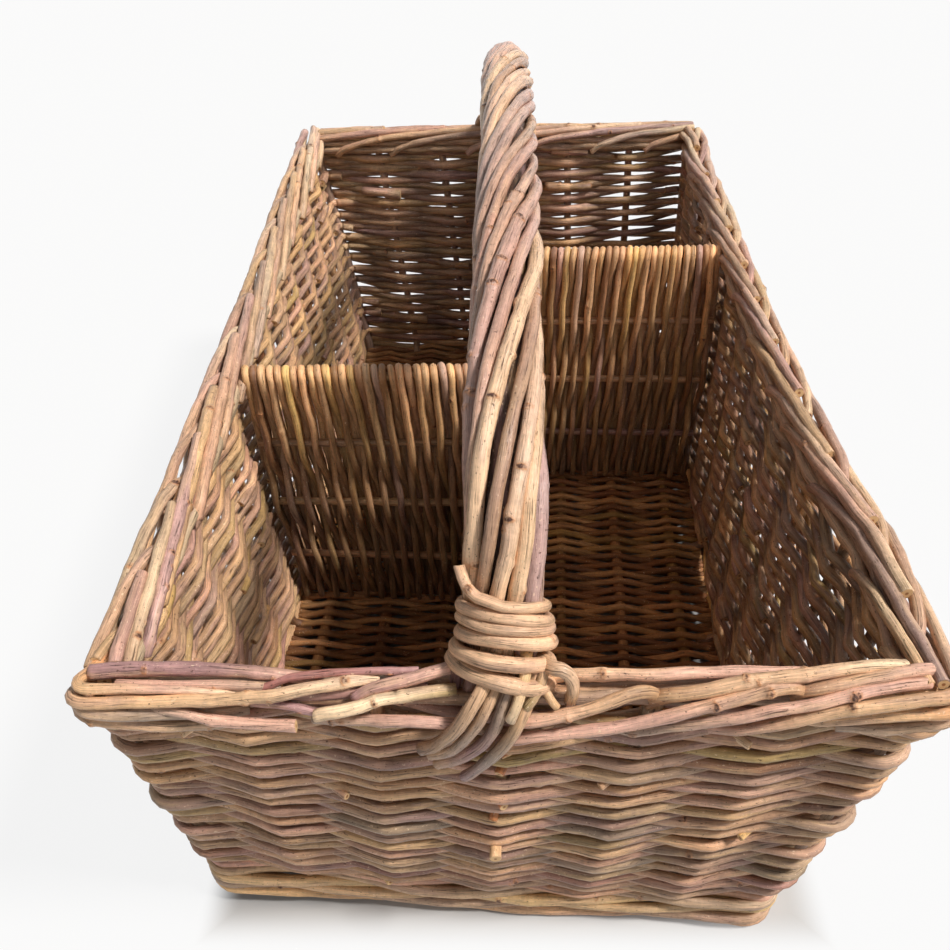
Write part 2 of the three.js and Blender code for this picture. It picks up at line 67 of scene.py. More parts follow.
# Body of the basket, as the frame gives it
RIM_HALF_WIDTH = node_box("right_border")[1][0]
RIM_HALF_LENGTH = node_box("back_border")[1][1]
RIM_HEIGHT = node_box("front_border")[1][2]
BORDER_BOTTOM = node_box("front_border")[0][2]
FOOT_TOP = node_box("foot_wale")[1][2]
WALL_SLOPE = (RIM_HALF_WIDTH - node_box("foot_wale")[1][0]) / (RIM_HEIGHT - FOOT_TOP)
WALL_THICKNESS = 12.0
CORNER_RADIUS = 6.0
BASE_BOTTOM, BASE_TOP = (corner[2] for corner in node_box("base_weave"))
BASE_MIDDLE = (BASE_BOTTOM + BASE_TOP) / 2

# By hand the foot came out turned a little under the rim, and the rim's long sides bent in: for
# each bend its side, 1 for the right and -1 for the left, then how far it goes in, its middle
# along the basket and how far it reaches to either side of that
FOOT_TURN = math.radians(-3.0)
RIM_BENDS = ((1, 10.0, 20.0, 195.0), (1, 6.0, 240.0, 90.0), (-1, 2.5, -60.0, 170.0))

# The walls bow out a little, and the rows of their weave climb towards the corners
FRONT_BELLY = 6.0
OTHER_BELLY = 2.0
CORNER_RISE = 8.0
FOOT_CORNER_RISE = 0.5
LEFT_CORNER_RISE = 8.5

# Places are counted round the basket from its front left corner, one for each stake and corner.
# The middle place of a short side is taken by the end of the handle bow.
SHORT_PLACES = count_of("front_stake_") + 1
LONG_PLACES = count_of("left_stake_")
PLACES = 2 * (SHORT_PLACES + LONG_PLACES) + 4
STAKE_RADIUS = 2.6
CORNER_POST_RADIUS = 3.5

# Weavers of the walls, one over one, how far their ends are tucked in and how many tones each
# has, and the rows of the foot
SIDE_BOTTOM = FOOT_TOP + 1.0
SIDE_TOP = BORDER_BOTTOM - 1.0
SIDE_ROWS = 36
SIDE_BULGE = 4.6
SIDE_TUCK = 3.0
BARK_SPOTS = 9
WALE_ROWS = 5
WALE_RADIUS = 2.7

# Base: weavers across its lengthwise sticks, on into the foot
BASE_STICKS = count_of("base_stick_")
BASE_STICK_RADIUS = 3.4
BASE_ROW_PITCH = 3.75
BASE_BULGE = 4.1
BASE_OVERREACH = 5.0

# Dividers: each upright weaver goes up one side, over the top stick and down the other side.
# They end a little inside the wall, and the cross ones start a little off the middle.
DIVIDER_PITCH = 4.1
DIVIDER_STICKS = 4
DIVIDER_STICK_SPACING = 44.0
DIVIDER_BOTTOM = BASE_TOP + 1.5
DIVIDER_INSET = WALL_THICKNESS - 1.5
CROSS_DIVIDER_START = 5.0

# Handle: its middle line, the bow inside, the rods wound round it, the pegs, and its feet with
# the way along Y that each is from the middle
HANDLE_TOP = node_box("handle_wrap")[1][2] - 15.0
HANDLE_FOOT_INSET = 14.0
HANDLE_LEAN = math.radians(26)
HANDLE_STRAIGHT = 46.0
HANDLE_SHOULDER = 38.0
HANDLE_FLAT = 75.0
BOW_RADIUS = 8.4
BOW_END_RADIUS = 4.0
BOW_END_POINTS = 14
WRAP_RODS = 11
WRAP_ROD_RADIUS = 2.9
WRAP_SLIMNESS = 0.93
WRAP_TURN_LENGTH = 310
WRAP_TURN_CHANGE = 50
PEG_RADIUS = 2.6
FEET = (("front", -1), ("back", 1))

# Every rod strays with swings of these lengths. A knot has rings of its own, in shares of its
# width. The edge of a cut end is broken: how far in and how narrow, in shares of the radius.
STRAY_SWINGS = (33.0, 41.0, 37.0)
KNOT_RINGS = (-1.4, -0.7, 0, 0.7, 1.4)
CHAMFER_DEPTH = 0.1
CHAMFER_WIDTH = 0.86
# Draws up to this angle, a little over a full turn, face any way
ANY_WAY = 6.3
# Specular level of bark and of cut wood
GLOSS = 0.4

# Where each part's random draws start. A divider's sticks and a rope's core are further on.
SEEDS = {
    "side_rows": 3, "foot_rows": 5, "side_bulge": 7, "base_rows": 9, "divider_sway": 21,
    "side_weave": 100, "foot_wale": 200, "front_stubs": 260, "stakes": 300, "corner_posts": 350,
    "base_weave": 401, "base_sticks": 480, "center_divider": 500, "left_divider": 600,
    "right_divider": 700, "front_border": 800, "left_border": 1000, "back_border": 1400,
    "right_border": 1800, "handle_bow": 2000, "handle_wrap": 2010, "spread_rods": 2100,
    "bindings": 2200, "pegs": 2300,
}
LOWER_STICK_DRAWS = 900
TOP_STICK_DRAWS = 950
CORE_DRAWS = 700


def rng_for(part, number=0):
    """The draws of one rod of a part, the same in each run"""
    return np.random.default_rng(SEEDS[part] + number)


def unit(vectors):
    return vectors / np.maximum(np.linalg.norm(vectors, axis=-1, keepdims=True), 1e-9)


def drift(rng, s, swing):
    """Smooth random values between about -1 and 1 along s, with swings of a given length"""
    total = 0
    for octave, share in ((1.0, 0.6), (1.9, 0.3), (3.7, 0.15)):
        total = total + share * np.sin(FULL_TURN * octave * s / swing + rng.uniform(0, FULL_TURN))
    return total


def lengths_along(route):
    steps = np.linalg.norm(np.diff(route, axis=0), axis=1)
    return np.concatenate([[0.0], np.cumsum(steps)])


def read_off(at, s, rows):
    """Rows of values that are known at s, read off at other places along it"""
    return np.stack([np.interp(at, s, column) for column in rows.T], axis=1)


def off_ends(s, reach):
    """0 at both ends of s, rising to 1 within a reach of them"""
    return np.clip(np.minimum(s, s[-1] - s) / reach, 0, 1)


def flowing(points, step):
    """A smooth route through a few points, with its own points about a step apart"""
    points = np.asarray(points, float)
    ends = np.vstack([2 * points[0] - points[1], points, 2 * points[-1] - points[-2]])
    fine = []
    for before, start, end, after in zip(ends[:-3], ends[1:-2], ends[2:-1], ends[3:]):
        for t in np.linspace(0, 1, 12, endpoint=False):
            fine.append(0.5 * (
                2 * start + (end - before) * t
                + (2 * before - 5 * start + 4 * end - after) * t ** 2
                + (3 * start - before - 3 * end + after) * t ** 3
            ))
    fine = np.vstack([fine, points[-1:]])
    s = lengths_along(fine)
    return read_off(np.linspace(0, s[-1], max(int(s[-1] / step), 2) + 1), s, fine)


def settled(points):
    """Points of the body as they lie in the finished basket, its foot turned and its rim bent"""
    x, y, z = points.T
    turn = FOOT_TURN * np.clip(1 - z / RIM_HEIGHT, 0, 1)
    settled_x = x * np.cos(turn) - y * np.sin(turn)
    settled_y = x * np.sin(turn) + y * np.cos(turn)
    for side, bend, middle, reach in RIM_BENDS:
        share = np.clip(side * x / RIM_HALF_WIDTH, 0, 1) ** 2 * z / RIM_HEIGHT
        near = np.clip(1 - ((settled_y - middle) / reach) ** 4, 0, 1)
        settled_x = settled_x - side * bend * near * share
    return np.stack([settled_x, settled_y, z], axis=1)


# Barks as they look in plain light, and which of them each part of the basket is made of
BARKS = {
    "tan": (204, 164, 128), "pink": (204, 160, 138), "purple": (158, 120, 116),
    "yellow": (216, 178, 118), "cream": (230, 200, 164), "grey": (166, 142, 122),
    "olive": (172, 146, 98), "brown": (146, 106, 74), "red": (164, 110, 100),
    "rust": (184, 120, 72), "straw": (214, 172, 128), "mauve": (184, 150, 140),
    "peach": (226, 186, 150),
}
MIXES = {
    "side": {
        "grey": 6, "tan": 7, "mauve": 3, "pink": 3, "purple": 1, "olive": 3, "brown": 2, "straw": 4,
    },
    "left": {"yellow": 3, "tan": 5, "straw": 4, "pink": 2, "mauve": 2, "grey": 1},
    "foot": {"yellow": 2, "tan": 5, "grey": 2, "straw": 3, "olive": 1},
    "base": {"brown": 6, "tan": 3, "olive": 1},
    "border": {"tan": 4, "pink": 5, "mauve": 2, "cream": 3, "straw": 3},
    "stake": {"brown": 3, "grey": 2, "tan": 1},
    "divider": {"tan": 6, "brown": 2, "straw": 4, "yellow": 1, "mauve": 1},
    "handle": {"pink": 6, "tan": 4, "peach": 2, "mauve": 3},
}


def linear(colour):
    """The light that a colour on the screen's scale of 0 to 255 stands for"""
    values = np.asarray(colour, float) / 255
    return np.where(values < 0.04045, values / 12.92, ((values + 0.055) / 1.055) ** 2.4)


def bark_of(rng, mix):
    """The colour of one rod out of a mix, a little lighter or darker than its kind"""
    weights = np.array(list(MIXES[mix].values()), float)
    kind = list(MIXES[mix])[rng.choice(len(weights), p=weights / weights.sum())]
    return linear(BARKS[kind]) * rng.uniform(0.72, 1.16) * rng.uniform(0.95, 1.05, 3)


def barks_of(rng, mix, count):
    return np.array([bark_of(rng, mix) for _ in range(count)])


def named_barks(rng, names, darkest=0.93):
    """The colours of the kinds of bark in a row of names, each a little lighter or darker"""
    return np.array([linear(BARKS[name]) * rng.uniform(darkest, 1.05) for name in names.split()])


class Bundle:
    """Rods that make one piece: their skins with cut ends, and what their bark needs to know"""

    def __init__(self, sides):
        self.sides = sides
        self.points = []
        self.grain = []
        self.bark = []
        self.knots = []
        self.quads = []
        self.caps = []
        self.count = 0

    def rod(self, route, radius, bark, rng, knots=0.0, level=None, slant=0.25, wander=0.25):
        """Adds a rod along a route: knots is how many it has per millimetre, level the way that
        its skin starts from, slant how askew it is cut off, and wander how far it strays"""
        s = lengths_along(route)
        bark = np.atleast_2d(bark)
        toned_at = s / s[-1] if len(bark) == len(route) else np.linspace(0, 1, len(bark))
        stray = np.stack([drift(rng, s, swing) for swing in STRAY_SWINGS], axis=1)
        route = route + wander * stray * off_ends(s, 6)[:, None]
        radius = radius * (1 + 0.05 * drift(rng, s, 27.0))
        lumps = [
            (rng.uniform(3, max(s[-1] - 3, 4)), rng.uniform(0, FULL_TURN), rng.uniform(1.0, 2.0))
            for _ in range(rng.poisson(knots * s[-1]))
        ]
        if lumps:
            extra = [place + wide * ring for place, _, wide in lumps for ring in KNOT_RINGS]
            finer = np.unique(np.clip(np.concatenate([s, extra]), 0, s[-1]))
            finer = finer[np.concatenate([[True], np.diff(finer) > 0.05])]
            finer[-1] = s[-1]
            radius = np.interp(finer, s, radius)
            route = read_off(finer, s, route)
        first, last = unit(route[1] - route[0]), unit(route[-1] - route[-2])
        route = np.vstack([
            route[0], route[0] + CHAMFER_DEPTH * radius[0] * first, route[1:-1],
            route[-1] - CHAMFER_DEPTH * radius[-1] * last, route[-1],
        ])
        radius = np.concatenate([radius[:1] * CHAMFER_WIDTH, radius, radius[-1:] * CHAMFER_WIDTH])
        self.skin(route, radius, lumps, level, slant, rng)
        s = lengths_along(route)
        self.bark.append(np.repeat(read_off(s / s[-1], toned_at, bark), self.sides, axis=0))

    def skin(self, route, radius, lumps, level, slant, rng):
        """Rings of points round a route, not quite round, swollen at the knots and cut at an
        angle at both ends, with the faces between them"""
        ahead = unit(np.gradient(route, axis=0))
        if level is None:
            level = np.eye(3)[np.argmin(np.abs(ahead).max(axis=0))]
        side = unit(level - ahead * (ahead @ level)[:, None])
        other = np.cross(ahead, side)
        s = lengths_along(route)[:, None]
        angle = FULL_TURN * np.arange(self.sides) / self.sides
        oval = 1 + 0.045 * np.sin(2 * angle + s / 31 + rng.uniform(0, ANY_WAY))
        oval = oval + 0.03 * np.sin(3 * angle - s / 17 + rng.uniform(0, ANY_WAY))
        size = radius[:, None] * oval
        knot = np.zeros_like(size)
        for place, facing, wide in lumps:
            near = np.exp(-((s - place) / wide) ** 2)
            lump = near * (0.2 + 0.8 * np.clip(np.cos(angle - facing), 0, 1) ** 3)
            size = size * (1 + rng.uniform(0.12, 0.42) * lump)
            knot = np.maximum(knot, lump * rng.uniform(0.6, 1.0))
        out = np.cos(angle)[:, None] * side[:, None] + np.sin(angle)[:, None] * other[:, None]
        rings = route[:, None] + size[..., None] * out
        for end, way in ((0, -1), (-1, 1)):
            tilt = rng.uniform(-slant, slant) + 0.15 * slant
            cut = np.cos(angle - rng.uniform(0, ANY_WAY))[:, None]
            rings[end] += way * tilt * radius[end] * cut * ahead[end]
        along = np.broadcast_to(s + 1000 * rng.uniform(0, 40), size.shape)
        flat = radius[:, None]
        grain = np.stack([flat * np.cos(angle), flat * np.sin(angle), along], axis=-1)
        here = self.count + np.arange(size.size).reshape(size.shape)
        turned = np.roll(here, -1, axis=1)
        quads = np.stack([here[:-1], turned[:-1], turned[1:], here[1:]], axis=-1)
        self.points.append(rings.reshape(-1, 3))
        self.grain.append(grain.reshape(-1, 3))
        self.knots.append(knot.ravel())
        self.quads.append(quads.reshape(-1, 4))
        self.caps += [here[0][::-1], here[-1]]
        self.count += here.size

    def piece(self, name, slot, *nodes):
        """Makes the rods one piece of the basket, which stands for the given nodes"""
        quads = np.vstack(self.quads)
        mesh = bpy.data.meshes.new(name)
        mesh.from_pydata(
            (np.vstack(self.points) * MM).tolist(), [],
            quads.tolist() + [cap.tolist() for cap in self.caps],
        )
        is_cut = np.arange(len(mesh.polygons)) >= len(quads)
        mesh.polygons.foreach_set("use_smooth", ~is_cut)
        mesh.polygons.foreach_set("material_index", is_cut.astype(np.int32))
        bark = np.vstack(self.bark)
        for label, kind, field, values in (
            ("grain", "FLOAT_VECTOR", "vector", np.vstack(self.grain)),
            ("knot", "FLOAT", "value", np.concatenate(self.knots)),
            ("bark", "FLOAT_COLOR", "color", np.c_[bark, np.ones(len(bark))]),
        ):
            attribute = mesh.attributes.new(label, kind, "POINT")
            attribute.data.foreach_set(field, values.astype(np.float32).ravel())
        mesh.update()
        piece = bpy.data.objects.new(name, mesh)
        bpy.context.scene.collection.objects.link(piece)
        mesh.materials.append(finishes[slot])
        mesh.materials.append(finishes["cut_end"])
        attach(piece, "root")
        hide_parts(*nodes)


def lone_rod(node, slot, sides, route, radius, bark, rng, **habits):
    """One rod that is a piece of its own and stands for a node"""
    bundle = Bundle(sides)
    bundle.rod(route, radius, bark, rng, **habits)
    bundle.piece(f"{node}_rod", slot, node)


class Field:
    """A shader value that changes over a surface. An expression on fields adds its Math nodes."""

    def __init__(self, recipe, socket):
        self.recipe = recipe
        self.socket = socket

    def __add__(self, other):
        return self.recipe.math("ADD", self, other)

    __radd__ = __add__

    def __sub__(self, other):
        return self.recipe.math("SUBTRACT", self, other)

    def __rsub__(self, other):
        return self.recipe.math("SUBTRACT", other, self)

    def __mul__(self, other):
        return self.recipe.math("MULTIPLY", self, other)

    __rmul__ = __mul__

    def between(self, low, high):
        """0 below low, 1 above high and smooth between them, or the other way round"""
        return self.recipe.node(
            "ShaderNodeMapRange", {"interpolation_type": "SMOOTHSTEP"}, {0: self, 1: low, 2: high},
        )


class Recipe:
    """The nodes of one finish, or of the light all round"""

    def __init__(self, holder):
        holder.use_nodes = True
        self.holder = holder
        self.tree = holder.node_tree
        self.tree.nodes.clear()

    def node(self, kind, settings, inputs, output=0):
        """Adds a node: its settings, then a number, a colour or a field for each of its inputs"""
        node = self.tree.nodes.new(kind)
        for name, value in settings.items():
            setattr(node, name, value)
        for name, value in inputs.items():
            if isinstance(value, Field):
                self.tree.links.new(value.socket, node.inputs[name])
            else:
                node.inputs[name].default_value = value
        return Field(self, node.outputs[output]) if node.outputs else None

    def math(self, operation, *values):
        return self.node("ShaderNodeMath", {"operation": operation}, dict(enumerate(values)))

    def attribute(self, name, output):
        return self.node("ShaderNodeAttribute", {"attribute_name": name}, {}, output)

    def scaled(self, vector, across, along):
        """Grain coordinates in millimetres, squeezed across the rod and along it"""
        return self.node(
            "ShaderNodeVectorMath", {"operation": "MULTIPLY"}, {0: vector, 1: (across, across, along)},
        )

    def noise(self, vector, across, along, detail=3.0, roughness=0.5):
        return self.node("ShaderNodeTexNoise", {}, {
            "Vector": self.scaled(vector, across, along), "Scale": 1.0,
            "Detail": detail, "Roughness": roughness,
        })

    def mixed(self, share, first, second, blend="MIX"):
        return self.node(
            "ShaderNodeMix", {"data_type": "RGBA", "blend_type": blend},
            {0: share, 6: first, 7: second}, 2,
        )

    def painted(self, share, base, *colour):
        """A base with a plain colour over a share of it"""
        return self.mixed(share, base, plain(linear(colour)))

    def background_rays(self):
        """1 for the rays that see the background: the camera's, mirrored ones and clear ones"""
        kinds = ("Camera", "Glossy", "Transmission")
        rays = sum(self.node("ShaderNodeLightPath", {}, {}, f"Is {kind} Ray") for kind in kinds)
        return self.math("MINIMUM", rays, 1.0)

    def surface(self, base, roughness, height, depth):
        bump = self.node("ShaderNodeBump", {}, {"Strength": 1.0, "Distance": depth, "Height": height})
        shader = self.node("ShaderNodeBsdfPrincipled", {}, {
            "Base Color": base, "Roughness": roughness, "Normal": bump, "Specular IOR Level": GLOSS,
        })
        return self.finished(shader)

    def finished(self, shader, kind="ShaderNodeOutputMaterial"):
        self.node(kind, {}, {"Surface": shader})
        return self.holder


def new_finish(name):
    return Recipe(bpy.data.materials.new(name))


def plain(value):
    return (*np.asarray(value, float), 1.0)


def willow(name, tint, patches=0.4, roughness=0.42, streaks=0.75, specks=0.8):
    """Bark of willow: fibres and cracks along the rod, patches of another tone, pores and knots"""
    recipe = new_finish(name)
    grain = recipe.attribute("grain", 1)
    bark = recipe.attribute("bark", 0)
    knot = recipe.attribute("knot", 2)
    fine = recipe.noise(grain, 2.6, 0.07, 4.0, 0.65)
    coarse = recipe.noise(grain, 0.45, 0.05, 4.0, 0.6)
    patch = recipe.noise(grain, 0.2, 0.03)
    blotch = recipe.noise(grain, 0.35, 0.11, 4.0, 0.65)
    rings = recipe.noise(grain, 0.25, 0.5, 3.0, 0.6)
    pores = recipe.noise(grain, 1.3, 0.8)
    base = recipe.mixed(1.0, bark, plain(tint), "MULTIPLY")
    base = recipe.painted(patch.between(0.53, 0.66) * patches, base, 158, 120, 118)
    base = recipe.painted(patch.between(0.46, 0.34) * patches, base, 224, 186, 140)
    base = recipe.painted(blotch.between(0.55, 0.68) * (1.1 * patches), base, 142, 116, 106)
    light = fine * (2 * streaks) + coarse * (1.5 * streaks) + rings * 0.5 + (0.75 - 1.75 * streaks)
    shade = recipe.node("ShaderNodeCombineColor", {}, {0: light, 1: light, 2: light})
    base = recipe.mixed(1.0, base, shade, "MULTIPLY")
    crack = fine.between(0.42, 0.3) * coarse.between(0.56, 0.44)
    base = recipe.painted(crack * 0.5, base, 72, 44, 30)
    speck = pores.between(0.65, 0.7) * specks
    base = recipe.painted(speck * 0.85, base, 74, 46, 32)
    bloom = pores.between(0.38, 0.3) * coarse.between(0.45, 0.6)
    base = recipe.painted(bloom * 0.65, base, 244, 220, 186)
    scar = recipe.noise(grain, 0.9, 0.7).between(0.40, 0.62)
    base = recipe.painted(knot.between(0.2, 0.5) * (0.3 + 0.5 * scar), base, 196, 136, 92)
    base = recipe.painted(knot.between(0.5, 0.7) * (0.45 + 0.55 * scar), base, 74, 42, 28)
    rough = roughness + 0.3 * (coarse - 0.5) + 0.2 * speck
    height = fine * 0.5 + coarse * 0.4 - speck * 0.4 - crack * 0.5 + knot * scar * 0.8
    return recipe.surface(base, rough, height, 0.65 * MM)


def cut_wood(name):
    """The pale wood of a cut end, with its rings and dark pith"""
    recipe = new_finish(name)
    grain = recipe.attribute("grain", 1)
    flat = recipe.scaled(grain, 1.0, 0.0)
    reach = recipe.node("ShaderNodeVectorMath", {"operation": "LENGTH"}, {0: flat}, 1)
    fibre = recipe.noise(grain, 2.5, 0.0)
    base = recipe.painted(fibre, plain(linear((226, 196, 150))), 196, 150, 100)
    base = recipe.painted(reach.between(0.9, 0.4), base, 150, 100, 60)
    return recipe.surface(base, 0.7, fibre, 0.2 * MM)


# The finish of each slot, with its tint, patches, roughness and streaks, in this order
finishes = {
    "side_weave": willow("side_weave_willow", (1.0, 0.95, 0.92)),
    "foot_wale": willow("foot_wale_willow", (1.0, 1.0, 1.0), 0.25),
    "base": willow("base_willow", (0.9, 0.74, 0.5), 0.1, 0.7),
    "border": willow("border_willow", (1.14, 1.15, 1.17), 0.3, 0.38, 0.85),
    "stakes": willow("stake_willow", (0.8, 0.75, 0.7)),
    "dividers": willow("divider_willow", (1.0, 0.92, 0.83), 0.2),
    # The bow's bark is tinted nearly black: painted shade in the gaps between the wrap's rods
    "handle_bow": willow("bow_willow_painted_shade", (0.14, 0.1, 0.08)),
    "handle_wrap": willow("handle_willow", (0.93, 0.94, 0.97), 0.2, 0.28, 0.7),
    "binding": willow("binding_willow", (1.02, 1.0, 1.0), 0.25, 0.38, specks=0.5),
    "peg": willow("peg_willow", (1.0, 1.0, 1.0), 0.1),
    "cut_end": cut_wood("cut_willow"),
}

# The four sides in the order of their places: name, first place, places between the corners,
# the way along the side, the way out of the basket, and whether it is a short side
WALL_SIDES = (
    ("front", 0, SHORT_PLACES, ACROSS, -AHEAD, True),
    ("right", SHORT_PLACES + 1, LONG_PLACES, AHEAD, ACROSS, False),
    ("back", SHORT_PLACES + LONG_PLACES + 2, SHORT_PLACES, -ACROSS, AHEAD, True),
    ("left", 2 * SHORT_PLACES + LONG_PLACES + 3, LONG_PLACES, -AHEAD, -ACROSS, False),
)
CORNERS = [start for _, start, *_ in WALL_SIDES]
# Extra points of a weaver round each corner, in places from it
CORNER_STEPS = np.array([-0.17, -0.09, -0.045, 0.045, 0.09, 0.17])


def half_sizes(height, inset):
    """Half the width and half the length of the body at a height, in from its outer face"""
    lean = WALL_SLOPE * (RIM_HEIGHT - height) + inset
    return RIM_HALF_WIDTH - lean, RIM_HALF_LENGTH - lean


def belly(height, share, is_front):
    """How far a wall bows out at a height, at a share of the way from its middle to its corner"""
    most = FRONT_BELLY if is_front else OTHER_BELLY
    return most * np.sin(math.pi * np.clip(height / RIM_HEIGHT, 0, 1)) * (1 - np.square(share))


def on_sides(place):
    """Each side's row of the table, which of the places are on it, and how far along it they
    are, from -1 at its first corner to 1 at its last"""
    place = np.mod(place, PLACES)
    for side in WALL_SIDES:
        _, start, count, *_ = side
        here = (place >= start) & (place < start + count + 1)
        yield side, here, 2 * (place - start) / (count + 1) - 1


def to_corner(place):
    """0 in the middle of a wall, rising to 1 at its corners"""
    rise = np.zeros_like(place)
    for (*_, is_short), here, share in on_sides(place):
        rise[here] = np.abs(share[here]) ** (2 if is_short else 6)
    return rise


def wall_line(place, height, out):
    """Points in the wall at places counted round the basket, out from the wall's middle"""
    half_width, half_length = half_sizes(height, WALL_THICKNESS / 2)
    points = np.zeros((len(place), 3))
    for (name, _, _, along, outward, is_short), here, share in on_sides(place):
        half, deep = (half_width, half_length) if is_short else (half_length, half_width)
        deep = deep + belly(height, np.clip(share, -1, 1), name == "front")
        e = share * half
        flat = half - CORNER_RADIUS
        turn = math.pi / 4 * np.clip(np.abs(e) - flat, 0, CORNER_RADIUS) / CORNER_RADIUS
        way = np.cos(turn)[:, None] * outward + (np.sin(turn) * np.sign(e))[:, None] * along
        point = np.clip(e, -flat, flat)[:, None] * along + (deep - CORNER_RADIUS)[:, None] * outward
        points[here] = (point + way * (CORNER_RADIUS + out)[:, None])[here]
    points[:, 2] = height
    return points


def places_between(first, last, per_place):
    """Places along a weaver: evenly spaced, and closer together round the corners"""
    even = np.arange(math.ceil(first * per_place), last * per_place) / per_place
    laps = (-PLACES, 0, PLACES)
    places = np.concatenate([even, *(corner + lap + CORNER_STEPS for corner in CORNERS for lap in laps)])
    places = places[(places > first) & (places < last)]
    return np.unique(np.round([first, *places, last], 4))


def zigzag(phase):
    """A weaver's way out of the wall and into it, nearly straight between the stakes"""
    waves = ((1, 0.83), (3, 0.105), (5, 0.04), (7, 0.02))
    return sum(share * np.cos(k * (math.pi * phase)) for k, share in waves)


def gap_round(place, mark):
    """How far places are from a mark, the shorter way round the basket"""
    return np.abs((place - mark + PLACES / 2) % PLACES - PLACES / 2)


def near_corner(place, reach):
    """1 at the corners and falling off within a reach of them, in places"""
    gap = np.min([gap_round(place, corner) for corner in CORNERS], axis=0)
    return np.exp(-(gap / reach) ** 2)


def uneven(place, height, part):
    """A slow unevenness that neighbouring rows share"""
    rng = rng_for(part)
    total = 0
    for turns, rise, share in ((3, 150, 0.4), (5, -95, 0.35), (9, 60, 0.25), (14, -40, 0.15)):
        waves = FULL_TURN * (turns * place / PLACES + height / rise)
        total = total + share * np.sin(waves + rng.uniform(0, FULL_TURN))
    return total


def row_climb(place, share):
    """How much higher a row at a share of the wall's height runs towards the corners, and most
    of all over the front left one, where the foot doesn't touch the floor"""
    climb = to_corner(place) * (FOOT_CORNER_RISE * (1 - share) + CORNER_RISE * math.sin(math.pi * share))
    return climb + LEFT_CORNER_RISE * (1 - share) * np.exp(-(gap_round(place, 0) / 1.5) ** 2)


# At these places round the basket, how stout the weavers are, how far they swing, and the share
# of their bark's colour taken away as painted shade where they cross between stakes
MARKS = (0, 5.4, 6.6, 17.4, 18.6, 19.2, 19.8, 23.4, 24.6, 35.4, 36)
STOUTNESS = (1, 1, 0.98, 0.98, 0.96, 1.04, 1.24, 1.3, 0.94, 0.94, 1)
SWINGS = (1, 1, 1.06, 1.06, 0.98, 0.92, 0.72, 0.64, 1.04, 1.04, 1)
PAINTED_CREVICE_SHADE = (0.12, 0.12, 0.62, 0.62, 0.62, 0.62, 0.62, 0.62, 0.32, 0.32, 0.12)


def side_weaver(rng, row, level, start, end, swell, butt_first):
    """Route, radius and bark of a weaver between two places, with its ends tucked in"""
    reach = rng.uniform(0.22, 0.45, 2)
    place = places_between(start - reach[0], end + reach[1], 10)
    stout, swing, crevice_shade = (
        np.interp(place % PLACES, MARKS, values) for values in (STOUTNESS, SWINGS, PAINTED_CREVICE_SHADE)
    )
    run = (place - place[0]) / (place[-1] - place[0])
    taper = run if butt_first else 1 - run
    thick = rng.uniform(2.2, 2.75) * stout
    radius = thick - taper * rng.uniform(0.1, 0.45) + 0.12 * drift(rng, place, 2.3)
    tail = np.clip((start + 0.1 - place) / 0.4, 0, 1) + np.clip((place - end + 0.1) / 0.4, 0, 1)
    calm = 1 - 0.35 * np.clip(1 - (level - SIDE_BOTTOM) / 22, 0, 1)
    stray = 1 + 0.13 * uneven(place, level, "side_bulge") + 0.16 * drift(rng, place, 3.0)
    bulge = SIDE_BULGE * calm * stray * swing
    out = bulge * zigzag(place + row) + swell * near_corner(place, 0.42) - SIDE_TUCK * tail
    lift = np.where(run < 0.5, -0.9, 0.9) * tail + row_climb(place, row / SIDE_ROWS)
    height = level + 1.3 * uneven(place, level, "side_rows") + 0.8 * drift(rng, place, 3.4) + lift
    spots = np.linspace(place[0], place[-1], BARK_SPOTS) % PLACES
    bark = np.array([bark_of(rng, "left" if spot > CORNERS[3] else "side") for spot in spots])
    bark = bark * 0.55 + bark[rng.integers(BARK_SPOTS)] * 0.45 * rng.uniform(0.9, 1.1)
    bark = read_off(run, np.linspace(0, 1, BARK_SPOTS), bark)
    # Painted shade: the bark is darker where the weaver dives between the stakes into the wall
    bark = bark * (1 - crevice_shade * (1 - np.abs(zigzag(place + row))))[:, None]
    return settled(wall_line(place, height, out)), radius, bark


def side_weave():
    """Weavers round the walls, over one and behind one, with two rods to a row"""
    pitch = (SIDE_TOP - SIDE_BOTTOM) / SIDE_ROWS
    for half, rows in (("lower", range(SIDE_ROWS // 2)), ("upper", range(SIDE_ROWS // 2, SIDE_ROWS))):
        bundle = Bundle(9)
        for row in rows:
            rng = rng_for("side_weave", row)
            level = SIDE_BOTTOM + (row + 0.5) * pitch
            breaks = np.sort(rng.choice(PLACES // 2, 2, replace=False)) * 2 + row % 2 + 1
            butt_first = rng.random() < 0.5
            swell = rng.uniform(0.3, 2.0) + 1.6 * ((row // 3) % 2)
            swell = swell + 1.5 * np.clip((level - 160) / 30, 0, 1)
            for start, end in ((breaks[0], breaks[1]), (breaks[1], breaks[0] + PLACES)):
                weaver = side_weaver(rng, row, level, start, end, swell, butt_first)
                bundle.rod(*weaver, rng, knots=0.008, level=UP)
        bundle.piece(f"side_weave_{half}_rods", "side_weave", "side_weave")


